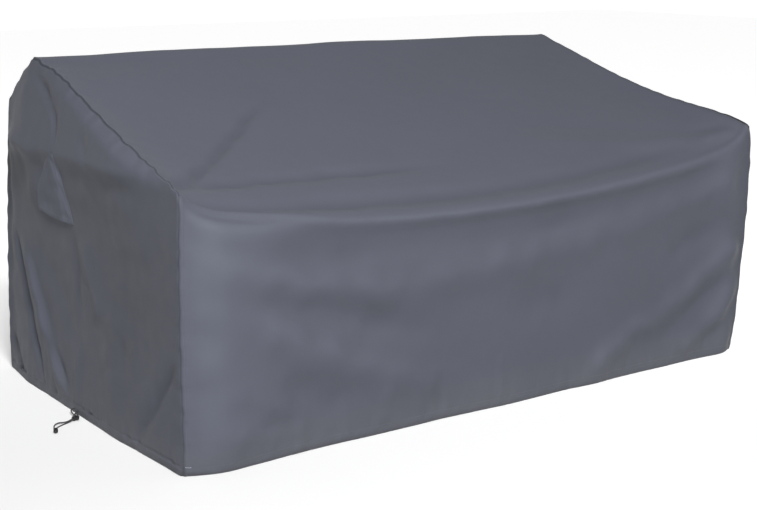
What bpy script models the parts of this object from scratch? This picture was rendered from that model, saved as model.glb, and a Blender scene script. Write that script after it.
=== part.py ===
"""A fitted cover for a two-seat outdoor sofa, as it hangs over its sofa.

The cover is coated cloth: one long main panel runs from the front hem up the front, over the slope and the
ridge and down the back, and a five-sided panel closes each end. An arched vent hood is sewn to the left end, and
a drawcord comes out of the hem there, through a cord lock to its cord end.

Shapes are worked out above the floor and centred on the cover: +X runs along the cover to its right end,
-Y is its front and +Z is up. An empty then carries all of it, so that the origin lies under the ridge, where
the sofa's back holds the cover up. Lengths in the tables are in millimetres.
"""

import bpy
import numpy as np
from mathutils import Vector
from mathutils.bvhtree import BVHTree

MM = 0.001

# Driving dimensions
COVER_LENGTH = 1.600
COVER_DEPTH = 0.950
CLOTH_THICKNESS = 0.002
SEAM_GAP = 0.0009
RIDGE_BACK = 0.779
RIDGE_UNDERSIDE = 0.787

# Where each sheet's rows of points lie: up the front by the height of the panel's middle, over the top by its
# distance behind the front plane, and down the back by height again
FRONT_ROWS_UP = (0, 22, 55, 90, 125, 160, 195, 230, 265, 300, 335, 370, 400, 425, 447, 465, 481)
TOP_ROWS_BACK = (36, 52, 72, 97, 130, 175, 230, 290, 355, 425, 495, 565, 630, 690, 740, 779)
REAR_SLOPE_ROWS_BACK = (820, 862, 903, 938)
BACK_ROWS_UP = (618, 530, 440, 350, 260, 170, 90, 22, 0)
END_ROWS_SHARE = (0, 0.038, 0.12, 0.22, 0.32, 0.42, 0.52, 0.62, 0.72, 0.81, 0.89, 0.95, 1.0)
COLUMNS_ALONG = 38
EVEN_SHARE = 0.75

END_X = COVER_LENGTH / 2
FRONT_Y = -COVER_DEPTH / 2

# The main panel's cross-sections, from the front hem over the top to the rear hem. "out" is how far the seam
# lies outside the end plane, "back" how far behind the front plane and "up" how far above the floor, for the
# left seam, the middle of the panel and the right seam. "pinch" is the share of the middle's sag that the
# cloth already reaches beside the seams.
SECTION_COLUMNS = (
    "place",
    "left_out", "left_back", "left_up",
    "mid_back", "mid_up",
    "right_out", "right_back", "right_up",
    "pinch",
)
SECTIONS = (
    ("front hem",      3,  27,   0,   7,   0,   6,  26,   0, 0.50),
    ("hem stitching",  5,  18,  22,   5,  22,   8,  23,  22, 0.50),
    ("toe",            7,  10,  95,   7,  95,  18,  20,  95, 0.50),
    ("shin",           8,   9, 220,   8, 220,  28,  20, 220, 0.50),
    ("knee",           8,   7, 335,  10, 325,  35,  18, 335, 0.50),
    ("thigh",          6,   6, 450,  13, 415,  38,  18, 450, 0.45),
    ("under the roll", 1,   9, 545,  15, 462,  36,  18, 550, 0.45),
    ("roll",          -3,  18, 576,  22, 481,  33,  26, 588, 0.45),
    ("over the roll", -3,  42, 589,  52, 490,  30,  52, 604, 0.38),
    ("arm front",     -7, 122, 609, 122, 512,  22, 120, 621, 0.30),
    ("arm middle",   -11, 312, 662, 300, 580,   9, 305, 650, 0.28),
    ("arm rear",     -15, 482, 713, 460, 650,   0, 478, 692, 0.28),
    ("back foot",    -15, 622, 760, 612, 717,  -3, 642, 741, 0.28),
    ("ridge front",  -14, 712, 777, 716, 764,  -9, 730, 768, 0.30),
    ("ridge",        -15, 768, 785, 779, 789, -17, 782, 782, 0.35),
    ("rear slope",   -18, 852, 744, 862, 757, -14, 858, 745, 0.35),
    ("rear edge",    -15, 934, 676, 938, 694, -10, 936, 678, 0.35),
    ("back top",     -10, 950, 605, 953, 618,  -4, 950, 610, 0.35),
    ("back middle",    3, 952, 400, 950, 415,   4, 951, 405, 0.40),
    ("back low",      12, 953, 190, 950, 190,   8, 952, 190, 0.40),
    ("rear stitching", 17, 949,  22, 946,  22,   6, 948,  22, 0.40),
    ("rear hem",      17, 942,   0, 943,   0,   4, 943,   0, 0.40),
)
ROLL, REAR_EDGE = 7, 16

# The section numbers between which each face's folds fade in or out
FRONT_FOLDS_END = (5.8, 6.7)
ROLL_FOLDS_END = (9.0, 10.0)
TOP_FOLDS_START = (7.0, 8.2)
BACK_FOLDS_START = (16.2, 17.5)
PINCH_REACH = 0.045
FOLDS_FADE_BY_SEAM = 0.05
BELLY_RISES_FRONT = (0.04, 0.28)
BELLY_RISES_REAR = (0.0, 0.15)
EDGE_KEEPS_SHAPE = 0.03
TAPER_SHARE = 0.24
LEAN_SHARPNESS = 3.0
TAPER_FLOOR = 0.12

# The main panel's folds: each is a soft ridge (height over 0) or trough (under 0) along a curve through a
# start, a bend and an end. On the front and the back a fold is placed by x and height above the floor, on the
# top by x and distance behind the front plane, and beside the roll by x and distance past the roll's middle.
# Its flanks are half_width (1 + lean) and half_width (1 - lean) wide.
FOLD_COLUMNS = ("face", "x0", "p0", "x1", "p1", "x2", "p2", "half_width", "height", "lean")
MAIN_FOLDS = (
    ("roll",  -900,   28, -640,    2, -380,  -16,  18,   6,  0.2),
    ("roll",  -610,  -14,  245,  -15, 1100,   10,  18,  11,  0.2),
    ("roll",  -860,   16, -560,   42, -250,   58,  24,  -9,  0.0),
    ("roll",  -440,   56,  150,   58,  745,   70,  34, -10,  0.0),
    ("roll",  -900,  -56,    0,  -76,  740,  -52,  32,  -5,  0.0),
    ("front", -712,  -70, -714,  300, -718,  730,  95,  28,  0.4),
    ("front",  748, -140,  748,  300,  748,  720,  50,  14, -0.2),
    ("front", -800,  452, -506,  358, -230,  318,  38,  11,  0.25),
    ("front", -330,  318,  200,  364,  790,  452,  38,  10,  0.25),
    ("front", -700,  352, -440,  292, -160,  226,  36,  -6,  0.0),
    ("front", -700,  340, -440,  192,  -90,   70,  40,  11,  0.2),
    ("front", -600,  170, -510,  125, -400,   80,  40,  -6,  0.0),
    ("front",  812,  305,  665,  224,  500,  122,  33,  13, -0.2),
    ("front",  565,  130,  400,  108,  262,   -5,  33,  13, -0.2),
    ("front",  800,  232,  640,  140,  480,   40,  28,  -4,  0.0),
    ("front",  805,  200,  700,  100,  560,   18,  29,  11,  0.0),
    ("front",  805,  405,  662,  324,  520,  300,  34,  -7,  0.0),
    ("top",   -860,    0, -575,  277, -300,  540,  26,  -9,  0.0),
    ("top",   -760,  108, -430,  184,   20,  204,  26,  -9,  0.0),
    ("top",    800,   45,  640,  105,  225,  282,  28,   5,  0.0),
    ("top",    800,   50,  519,  252,  262,  332,  28,  -3,  0.0),
    ("back",  -640,  640, -520,  380, -470,   -5,  50,  11,  0.2),
    ("back",  -150,  600, -120,  300, -160,   -5,  58,  -9,  0.0),
    ("back",   250,  640,  230,  340,  290,   -5,  55,  10, -0.2),
    ("back",   620,  640,  560,  350,  590,   -5,  50,  -9,  0.0),
)

# How far each end panel bellies out at its mid-depth, by height: it stands out over the sofa's arm, tucks in
# below it and flares at the hem.
BELLY_COLUMNS = ("up", "out")
BELLY = (
    (0, 13),
    (100, 8),
    (200, 2),
    (300, 0),
    (400, 3),
    (470, 9),
    (530, 20),
    (592, 37),
    (612, 32),
    (700, 15),
    (760, 4),
    (790, 0),
)

# The end panels' folds, placed by distance behind the front plane and height above the floor
END_FOLD_COLUMNS = ("back0", "up0", "back1", "up1", "back2", "up2", "half_width", "height", "lean")
LEFT_FOLDS = (
    (780, 764, 620, 688, 562, 590, 20,  -8,  0.3),
    (792, 748, 772, 680, 738, 604, 34,   4,  0.0),
    (930, 604, 860, 600, 700, 592, 18,   6,  0.0),
    (706, 610, 712, 520, 722, 420, 48,  10,  0.0),
    (872, 330, 800, 196, 692,  24, 28, -11,  0.0),
    (835, 365, 704, 178, 536,   0, 30,  11, -0.3),
    (792, 368, 622, 280, 508, 150, 29,  -8,  0.0),
    (495, 420, 418, 310, 388, 232, 34,   8,  0.2),
    ( 20, 232, 118, 126, 214,  12, 20,  -7,  0.2),
    (300, 320, 330, 170, 296,   0, 46,   7,  0.0),
    (890, 600, 880, 450, 905, 250, 36,   6,  0.0),
)
RIGHT_FOLDS = (
    (880, 420, 760, 220, 700,  -5, 44,  11,  0.2),
    (560, 520, 600, 280, 540,  -5, 52, -11,  0.0),
    (330, 480, 300, 260, 350,  -5, 48,  10,  0.0),
    ( 60, 330, 150, 170, 230,   0, 30, -10,  0.0),
    (720, 755, 650, 680, 560, 600, 28,  -8,  0.3),
)

# The vent hood: the ends and the height of its open lower edge, its peak, and how far the edge stands out
HOOD_FRONT_BACK = 0.512
HOOD_REAR_BACK = 0.706
HOOD_PEAK_BACK = 0.564
HOOD_FOOT_UP = 0.436
HOOD_FOOT_RISE = 0.006
HOOD_PEAK_UP = 0.590
HOOD_FOOT_DIP = 0.004
HOOD_STANDS_OUT = 0.005
HOOD_REAR_BOW = 0.008
HOOD_PEAK_WIDTH = 0.07
HOOD_LIFTS_WITHIN = 0.016
HOOD_FULLNESS = 0.6
HOOD_CLEARANCE = 0.0012
HOOD_GRID = 8

# The cord lock, its button and the cord end lie on the floor beside the left hem. Each profile is a row for each
# ring along the piece, from the end where the cord goes in, or from the button's inner face.
PROFILE_COLUMNS = ("along", "half_width", "half_height")
LOCK_CENTRE = (-0.8450, -0.0045, 0.0053)
LOCK_HEADING = (-0.85, -0.53, 0.0)
LOCK_PROFILE = (
    (-7.5, 4.3, 3.8),
    (-6.9, 4.9, 4.5),
    (-4.0, 5.2, 5.0),
    (4.0, 5.2, 5.0),
    (6.9, 4.9, 4.5),
    (7.5, 4.3, 3.8),
)
BUTTON_FROM_LOCK = 0.0074
BUTTON_PROFILE = (
    (-1.7, 3.0, 3.0),
    (-1.3, 3.3, 3.3),
    (1.1, 3.3, 3.3),
    (1.8, 2.8, 2.8),
    (2.1, 1.8, 1.8),
)
CORD_END_CENTRE = (-0.9115, -0.0565, 0.0049)
CORD_END_HEADING = (-0.35, -0.94, 0.0)
CORD_END_PROFILE = (
    (-9.0, 3.6, 3.0),
    (-8.2, 4.2, 3.6),
    (-4.0, 5.0, 4.5),
    (1.0, 5.1, 4.7),
    (5.5, 4.5, 4.1),
    (8.2, 3.2, 2.9),
    (9.2, 1.9, 1.8),
)
RING_POINTS = 20

# The drawcord's strands: where the two near ones leave the hem (y and height), and the bends of all four
CORD_RADIUS = 0.0014
CORD_POINT_SPACING = 0.0065
STRAND_SPACING = 0.0040
PART_GAP = 0.0008
LEAD_IN = 0.005
HEM_STRANDS = (
    ("draw_loop_rear", 1, (0.045, 0.0115), ((-834.5, 42.0, 9.5), (-837.5, 29.0, 6.4), (-837.0, 14.0, 5.5))),
    ("draw_loop_front", -1, (0.027, 0.0115), ((-832.5, 21.0, 9.0), (-832.3, 11.0, 6.2))),
)
TAIL_STRANDS = (
    ("draw_tail_upper", 1, (
        (-864.5, -10.2, 3.4),
        (-874.5, -9.8, 2.6),
        (-885.5, -9.8, 3.6),
        (-896.0, -16.0, 4.0),
        (-903.8, -27.0, 3.8),
    )),
    ("draw_tail_lower", -1, (
        (-863.5, -14.6, 2.8),
        (-873.5, -18.0, 1.9),
        (-883.5, -22.5, 1.8),
        (-893.0, -28.0, 1.9),
        (-899.6, -34.5, 2.6),
    )),
)
TAB_AT_HEM = (0.036, 0.0030)
TAB_BEND = (-0.8395, 0.0190, 0.0014)
TAB_DROP = -0.0028
TAB_WIDTH = 0.0060
TAB_THICKNESS = 0.0010
TAB_POINTS = 7

SLATE_CLOTH = (0.130, 0.138, 0.158, 1.0)
BLACK_PLASTIC = (0.012, 0.012, 0.013, 1.0)
BLACK_CORD = (0.016, 0.016, 0.018, 1.0)


def table(rows, names):
    """The rows of a table as one array for each named column, in metres where the column holds lengths."""
    columns = dict(zip(names, zip(*rows)))
    unscaled = ("place", "face", "pinch", "lean")
    return {
        name: np.array(values) if name in unscaled else np.array(values, float) * MM
        for name, values in columns.items()
    }


def smooth_step(value, start, end):
    """0 up to start, 1 from end on, and an S-shaped rise between."""
    t = np.clip((value - start) / (end - start), 0.0, 1.0)
    return t * t * (3.0 - 2.0 * t)


def smooth_through(heights, at):
    """A Catmull-Rom curve through heights at the whole numbers, read at the given places."""
    heights = np.asarray(heights, float)
    slopes = np.gradient(heights)
    low = np.clip(np.floor(at).astype(int), 0, len(heights) - 2)
    t = at - low
    rise = heights[low + 1] - heights[low]
    straight = heights[low] + rise * t
    bend = t * (1.0 - t) * ((slopes[low] - rise) * (1.0 - t) - (slopes[low + 1] - rise) * t)
    return straight + bend


def seam_line(side, at):
    """The points of the left or right seam at the given section numbers."""
    sections = table(SECTIONS, SECTION_COLUMNS)
    sign = -1.0 if side == "left" else 1.0
    out = smooth_through(sections[side + "_out"], at)
    back = smooth_through(sections[side + "_back"], at)
    up = smooth_through(sections[side + "_up"], at)
    return np.stack([sign * (END_X + out), FRONT_Y + back, up], axis=-1)


def bend_through(start, middle, end, count=24):
    """Points on the parabola that passes through a start, a middle and an end."""
    t = np.linspace(0.0, 1.0, count)[:, None]
    control = 2.0 * np.asarray(middle) - 0.5 * (np.asarray(start) + np.asarray(end))
    return (1 - t) ** 2 * np.asarray(start) + 2 * t * (1 - t) * control + t**2 * np.asarray(end)


def fold(across, along, start, middle, end, half_width, height, lean):
    """A fold's height at each place: a bell curve over the distance to its line, tapered to its two ends."""
    line = bend_through(start, middle, end)
    ahead = np.gradient(line, axis=0)
    step = np.linalg.norm(ahead, axis=1)
    ahead /= step[:, None]
    place = np.stack([across, along], axis=-1)
    nearest = ((place[..., None, :] - line) ** 2).sum(axis=-1).argmin(axis=-1)
    offset = place - line[nearest]
    forward = (offset * ahead[nearest]).sum(axis=-1)
    aside = offset[..., 0] * ahead[nearest, 1] - offset[..., 1] * ahead[nearest, 0]
    t = (nearest + forward / step[nearest]) / (len(line) - 1.0)
    past = np.maximum(np.maximum(-t, t - 1.0), 0.0) * step.sum()
    flank = half_width * (1.0 + lean * np.tanh(LEAN_SHARPNESS * aside / half_width))
    taper = TAPER_FLOOR + (1 - TAPER_FLOOR) * smooth_step(np.minimum(t, 1 - t), 0.0, TAPER_SHARE)
    return height * taper * np.exp(-((aside / flank) ** 2) - (past / half_width) ** 2)


def sections_in_rows():
    """The section number of each row of the main panel, front hem to rear hem."""
    back, up = (np.array([row[column] for row in SECTIONS]) for column in (4, 5))
    number = np.arange(len(SECTIONS))
    front = np.interp(FRONT_ROWS_UP, up[: ROLL + 1], number[: ROLL + 1])
    over_top = slice(ROLL, REAR_EDGE + 1)
    top = np.interp(TOP_ROWS_BACK + REAR_SLOPE_ROWS_BACK, back[over_top], number[over_top])
    down = np.interp(BACK_ROWS_UP, up[: REAR_EDGE - 1 : -1], number[: REAR_EDGE - 1 : -1])
    return front, top, down


def main_panel_points():
    """The main panel's outer face as a grid of points, rows along the sections and columns along the cover.

    Each section is the straight line between its seam points, plus the middle's sag: a part of it is reached
    within the pinch beside the seams and the rest follows a parabola. The folds are then added along the
    surface's normals."""
    at = np.concatenate(sections_in_rows())
    sections = table(SECTIONS, SECTION_COLUMNS)
    left = seam_line("left", at) + [CLOTH_THICKNESS + SEAM_GAP, 0, 0]
    right = seam_line("right", at) - [CLOTH_THICKNESS + SEAM_GAP, 0, 0]
    even = np.linspace(0, 1, COLUMNS_ALONG + 1)
    across = EVEN_SHARE * even + (1 - EVEN_SHARE) * (0.5 - 0.5 * np.cos(np.pi * even))
    points = left[:, None] * (1 - across)[:, None] + right[:, None] * across[:, None]
    from_seam = COVER_LENGTH * np.minimum(across, 1 - across)
    pinch = smooth_through(sections["pinch"], at)[:, None]
    sag = pinch * (1 - np.exp(-from_seam / PINCH_REACH)) + (1 - pinch) * 4 * across * (1 - across)
    middle_y = FRONT_Y + smooth_through(sections["mid_back"], at)
    middle_z = smooth_through(sections["mid_up"], at)
    points[..., 1] += (middle_y - (left + right)[:, 1] / 2)[:, None] * sag
    points[..., 2] += (middle_z - (left + right)[:, 2] / 2)[:, None] * sag

    step_along, step_up = np.gradient(points, axis=1), np.gradient(points, axis=0)
    normals = np.cross(step_along, step_up)
    normals /= np.linalg.norm(normals, axis=-1, keepdims=True)
    steps = np.linalg.norm(np.diff(points[:, COLUMNS_ALONG // 2], axis=0), axis=-1)
    girth = np.concatenate([[0.0], np.cumsum(steps)])
    past_roll = (girth - np.interp(ROLL, at, girth))[:, None] + 0 * across
    row = at[:, None]
    faces = {
        "front": (points[..., 2], 1 - smooth_step(row, *FRONT_FOLDS_END)),
        "roll": (past_roll, 1 - smooth_step(row, *ROLL_FOLDS_END)),
        "top": (points[..., 1] - FRONT_Y, smooth_step(row, *TOP_FOLDS_START) * (row < REAR_EDGE)),
        "back": (points[..., 2], smooth_step(row, *BACK_FOLDS_START)),
    }
    height = np.zeros(points.shape[:2])
    folds = table(MAIN_FOLDS, FOLD_COLUMNS)
    for i, face in enumerate(folds["face"]):
        place, window = faces[face]
        ends = [(folds["x" + n][i], folds["p" + n][i]) for n in "012"]
        shape = folds["half_width"][i], folds["height"][i], folds["lean"][i]
        height += window * fold(points[..., 0], place, *ends, *shape)
    height *= smooth_step(from_seam, 0.0, FOLDS_FADE_BY_SEAM)
    points += normals * height[..., None]
    points[:, 0, 0] += CLOTH_THICKNESS * np.maximum(normals[:, 0, 0], 0.0)
    points[:, -1, 0] -= CLOTH_THICKNESS * np.maximum(-normals[:, -1, 0], 0.0)
    return points


def end_panel_points(side):
    """An end panel's outer face as a grid of points, columns from front to rear and rows from hem to top.

    It is the patch that blends its four edges: the seam up the front corner, the seam over the top, the seam
    down the back corner and the hem. It bellies out by height, and its folds move it straight out or in."""
    number = np.arange(len(SECTIONS))
    seam_up = table(SECTIONS, SECTION_COLUMNS)[side + "_up"]
    share = np.array(END_ROWS_SHARE)
    front_at = np.interp(share * seam_up[ROLL], seam_up[: ROLL + 1], number[: ROLL + 1])
    rear_at = np.interp(share * seam_up[REAR_EDGE], seam_up[: REAR_EDGE - 1 : -1], number[: REAR_EDGE - 1 : -1])
    top_at = np.concatenate([[ROLL], sections_in_rows()[1]])
    front, top, rear = (seam_line(side, at) for at in (front_at, top_at, rear_at))
    v = (top[:, 1] - top[0, 1]) / (top[-1, 1] - top[0, 1])
    hem = front[0] * (1 - v)[:, None] + rear[0] * v[:, None]
    w = front[:, 2] / front[-1, 2]
    v_grid, w_grid = v[:, None, None], w[None, :, None]
    across = front[None] * (1 - v_grid) + rear[None] * v_grid
    upward = hem[:, None] * (1 - w_grid) + top[:, None] * w_grid
    corners = (front[0] * (1 - v_grid) + rear[0] * v_grid) * (1 - w_grid)
    corners = corners + (front[-1] * (1 - v_grid) + rear[-1] * v_grid) * w_grid
    points = across + upward - corners

    back, up = points[..., 1] - FRONT_Y, points[..., 2]
    belly = table(BELLY, BELLY_COLUMNS)
    from_front, from_rear = v[:, None] * COVER_DEPTH, (1 - v)[:, None] * COVER_DEPTH
    out = np.interp(up, belly["up"], belly["out"])
    out *= smooth_step(from_front, *BELLY_RISES_FRONT)
    out *= smooth_step(from_rear, *BELLY_RISES_REAR)
    folds = table(LEFT_FOLDS if side == "left" else RIGHT_FOLDS, END_FOLD_COLUMNS)
    wave = np.zeros(out.shape)
    for i in range(len(folds["height"])):
        ends = [(folds["back" + n][i], folds["up" + n][i]) for n in "012"]
        wave += fold(back, up, *ends, folds["half_width"][i], folds["height"][i], folds["lean"][i])
    inside = np.minimum(from_front, from_rear)
    below_top = (1 - w)[None] * seam_up[ROLL]
    out += wave * smooth_step(inside, 0.0, FOLDS_FADE_BY_SEAM)
    out *= smooth_step(below_top, 0.0, EDGE_KEEPS_SHAPE)
    points[..., 0] += out * (-1.0 if side == "left" else 1.0)
    return points


def finish(name, colour, roughness):
    """A matt finish of one colour."""
    material = bpy.data.materials.new(name)
    material.use_nodes = True
    shader = material.node_tree.nodes["Principled BSDF"]
    shader.inputs["Base Color"].default_value = colour
    shader.inputs["Roughness"].default_value = roughness
    shader.inputs["Metallic"].default_value = 0.0
    return material


def add_object(name, data, material):
    """A named object in the cover's collection, carried by the empty."""
    piece = bpy.data.objects.new(name, data)
    parts.objects.link(piece)
    piece.parent = carrier
    data.materials.append(material)
    return piece


def sheet(name, grid, flip, thickness=CLOTH_THICKNESS):
    """A sheet of cloth: the grid of points as triangles, thickened inwards from its outer face."""
    rows, columns = grid.shape[:2]
    number = np.arange(rows * columns).reshape(rows, columns)
    a, b, c, d = number[:-1, :-1], number[:-1, 1:], number[1:, 1:], number[1:, :-1]
    if flip:
        b, d = d, b
    quads = np.stack([a, b, c, d], axis=-1).reshape(-1, 4)
    mesh = bpy.data.meshes.new(name)
    mesh.from_pydata(grid.reshape(-1, 3).tolist(), [], quads.tolist())
    mesh.shade_smooth()
    piece = add_object(name, mesh, finish("slate_cloth", SLATE_CLOTH, 0.72))
    split = piece.modifiers.new("Split quads", "TRIANGULATE")
    split.quad_method = "SHORTEST_DIAGONAL"
    thick = piece.modifiers.new("Cloth thickness", "SOLIDIFY")
    thick.thickness = thickness
    thick.offset = -1.0
    return piece


def outer_face_reader(grid):
    """A function that reads how far out an end panel's faceted outer face lies at a place."""
    rows, columns = grid.shape[:2]
    number = np.arange(rows * columns).reshape(rows, columns)
    a, b, c, d = number[:-1, :-1], number[:-1, 1:], number[1:, 1:], number[1:, :-1]
    corners = ((a, b, c), (a, c, d), (a, b, d), (b, c, d))
    triangles = [np.stack(corner, axis=-1).reshape(-1, 3) for corner in corners]
    tree = BVHTree.FromPolygons(grid.reshape(-1, 3).tolist(), np.concatenate(triangles).tolist())

    def read(y, z):
        start = Vector((-2 * END_X, float(y), float(z)))
        hit = tree.ray_cast(start, Vector((1.0, 0.0, 0.0)))[0]
        return hit.x

    return read


def add_vent_hood(read):
    """The vent hood: an arched sheet, seated on the panel along its two sides. Between them it runs straight from
    its open lower edge, which stands out, to its peak. Its rows run up from that edge and its columns from rear
    to front."""
    step = np.linspace(0.0, 1.0, HOOD_GRID + 1)[:, None]
    share = np.linspace(0.0, 1.0, HOOD_GRID + 1)[None]
    rise = 1 - (1 - step) ** 2
    rear_width = np.maximum(1 - step, HOOD_PEAK_WIDTH)
    front_width = np.maximum(1 - rise, HOOD_PEAK_WIDTH)
    rear = HOOD_PEAK_BACK + (HOOD_REAR_BACK - HOOD_PEAK_BACK) * rear_width + HOOD_REAR_BOW * np.sin(np.pi * rise)
    front = HOOD_PEAK_BACK + (HOOD_FRONT_BACK - HOOD_PEAK_BACK) * front_width
    back = rear + (front - rear) * share
    foot = HOOD_FOOT_UP + HOOD_FOOT_RISE * (1 - share) - HOOD_FOOT_DIP * np.sin(np.pi * share)
    up = foot + (HOOD_PEAK_UP - foot) * rise
    seat = np.vectorize(read)(back + FRONT_Y, up) - CLOTH_THICKNESS - HOOD_CLEARANCE
    stands_out = HOOD_STANDS_OUT * np.sin(np.pi * share) ** HOOD_FULLNESS * (1 - rise)
    bridge = seat[:1] * (1 - rise) + seat[-1:] * rise - stands_out
    from_sides = np.minimum(back - front, rear - back)
    x = seat - np.maximum(seat - bridge, 0.0) * smooth_step(from_sides, 0.0, HOOD_LIFTS_WITHIN)
    return sheet("vent_hood_left", np.stack([x, back + FRONT_Y, up], axis=-1), flip=False)


def unit(direction):
    direction = np.asarray(direction, float)
    return direction / np.linalg.norm(direction)


def moulded_piece(name, centre, heading, profile, roundness):
    """A moulded plastic piece: superellipse rings along its heading, one for each row of the profile."""
    rings = table(profile, PROFILE_COLUMNS)
    turn = np.linspace(0.0, 2.0 * np.pi, RING_POINTS, endpoint=False)
    wide = np.sign(np.cos(turn)) * np.abs(np.cos(turn)) ** (2.0 / roundness)
    high = np.sign(np.sin(turn)) * np.abs(np.sin(turn)) ** (2.0 / roundness)
    forward = unit(heading)
    sideways = np.array([-forward[1], forward[0], 0.0])
    upward = np.array([0.0, 0.0, 1.0])
    points = (
        np.asarray(centre)
        + rings["along"][:, None, None] * forward
        + (rings["half_width"][:, None] * wide)[..., None] * sideways
        + (rings["half_height"][:, None] * high)[..., None] * upward
    )
    count = len(rings["along"])
    number = np.arange(count * RING_POINTS).reshape(count, RING_POINTS)
    after = np.roll(number, -1, axis=1)
    walls = np.stack([number[:-1], after[:-1], after[1:], number[1:]], axis=-1).reshape(-1, 4)
    faces = walls.tolist() + [number[0, ::-1].tolist(), number[-1].tolist()]
    mesh = bpy.data.meshes.new(name)
    mesh.from_pydata(points.reshape(-1, 3).tolist(), [], faces)
    return add_object(name, mesh, finish("black_plastic", BLACK_PLASTIC, 0.45))


def cord(name, route):
    """A stretch of drawcord: a round tube along a smooth curve through the route's points."""
    route = np.asarray(route, float)
    length = np.linalg.norm(np.diff(route, axis=0), axis=1).sum()
    count = max(6, int(round(length / CORD_POINT_SPACING)))
    at = np.linspace(0, len(route) - 1, count)
    smooth = np.stack([smooth_through(route[:, axis], at) for axis in range(3)], axis=1)
    curve = bpy.data.curves.new(name, "CURVE")
    curve.dimensions = "3D"
    curve.bevel_depth = CORD_RADIUS
    curve.bevel_resolution = 2
    curve.use_fill_caps = True
    spline = curve.splines.new("POLY")
    spline.points.add(count - 1)
    spline.points.foreach_set("co", np.column_stack([smooth, np.ones(count)]).ravel())
    return add_object(name, curve, finish("black_cord", BLACK_CORD, 0.8))


def add_lock_tab(start, end):
    """The short tab of cloth that ties the lock to the hem: a flat strip bowed between the two."""
    share = np.linspace(0.0, 1.0, TAB_POINTS)
    line = bend_through(start, TAB_BEND, end, TAB_POINTS)
    ahead = np.gradient(line[:, :2], axis=0)
    ahead /= np.linalg.norm(ahead, axis=1, keepdims=True)
    ahead[0] = (-1.0, 0.0)
    ahead[-1] = unit(LOCK_HEADING)[:2]
    sideways = np.stack([-ahead[:, 1], ahead[:, 0], 0 * share], axis=1) * TAB_WIDTH / 2
    strip = np.stack([line + sideways, line, line - sideways], axis=1)
    return sheet("lock_tab", strip, flip=False, thickness=TAB_THICKNESS)


def add_drawcord(read):
    """The drawcord set: two strands leave the hem for the lock, go through it, and end together in the cord end.
    The lock's button stands out of its side.

    The strands' routes start at the hem or the lock and stop short of the piece that they run into."""
    moulded_piece("cord_lock", LOCK_CENTRE, LOCK_HEADING, LOCK_PROFILE, roundness=2.8)
    button_heading = np.array([-unit(LOCK_HEADING)[1], unit(LOCK_HEADING)[0], 0.0])
    button_centre = LOCK_CENTRE + button_heading * BUTTON_FROM_LOCK
    moulded_piece("lock_button", button_centre, button_heading, BUTTON_PROFILE, roundness=2.0)
    moulded_piece("cord_end", CORD_END_CENTRE, CORD_END_HEADING, CORD_END_PROFILE, roundness=2.3)
    lock_ahead, end_ahead = unit(LOCK_HEADING), unit(CORD_END_HEADING)
    lock_across = np.array([lock_ahead[1], -lock_ahead[0], 0.0]) * STRAND_SPACING / 2
    end_across = np.array([end_ahead[1], -end_ahead[0], 0.0]) * STRAND_SPACING / 2
    into_lock = LOCK_CENTRE + lock_ahead * (LOCK_PROFILE[0][0] * MM - PART_GAP)
    out_of_lock = LOCK_CENTRE + lock_ahead * (LOCK_PROFILE[-1][0] * MM + PART_GAP)
    into_end = CORD_END_CENTRE + end_ahead * (CORD_END_PROFILE[0][0] * MM - PART_GAP)
    for name, side, (y, z), bends in HEM_STRANDS:
        start = np.array([read(y, z) - PART_GAP, y, z])
        end = into_lock + side * lock_across
        cord(name, [start, *(np.array(bends) * MM), end - lock_ahead * LEAD_IN, end])
    for name, side, bends in TAIL_STRANDS:
        start = out_of_lock + side * lock_across
        end = into_end + side * end_across
        lead_out, lead_in = start + lock_ahead * LEAD_IN, end - end_ahead * LEAD_IN
        cord(name, [start, lead_out, *(np.array(bends) * MM), lead_in, end])
    tab_start = np.array([read(*TAB_AT_HEM) - PART_GAP, *TAB_AT_HEM])
    tab_end = into_lock + np.array([0.0, 0.0, TAB_DROP])
    add_lock_tab(tab_start, tab_end)


for stale in list(bpy.data.objects):
    bpy.data.objects.remove(stale)

parts = bpy.data.collections.new("sofa_cover")
bpy.context.scene.collection.children.link(parts)
carrier = bpy.data.objects.new("cover_carrier", None)
parts.objects.link(carrier)
carrier.location = (0.0, -(FRONT_Y + RIDGE_BACK), -RIDGE_UNDERSIDE)

sheet("main_panel", main_panel_points(), flip=False)
left_grid = end_panel_points("left")
sheet("side_panel_left", left_grid, flip=False)
sheet("side_panel_right", end_panel_points("right"), flip=True)
read_left = outer_face_reader(left_grid)
add_vent_hood(read_left)
add_drawcord(read_left)
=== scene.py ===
"""How a fitted cover for a two-seat outdoor sofa looks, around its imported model.

Each section makes one piece or a group of like pieces, in the order in which the cover is put together,
after the view and the drawcord. Places are worked out in metres above the floor with the cover's middle at
x = 0 and y = 0: +X runs to the cover's right end and -Y out of its front. lowered() then moves them into the
row's frame, whose origin lies under the ridge. Lengths in the tables are in millimetres.
"""

import bpy
import numpy as np
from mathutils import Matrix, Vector
from mathutils.bvhtree import BVHTree


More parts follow.
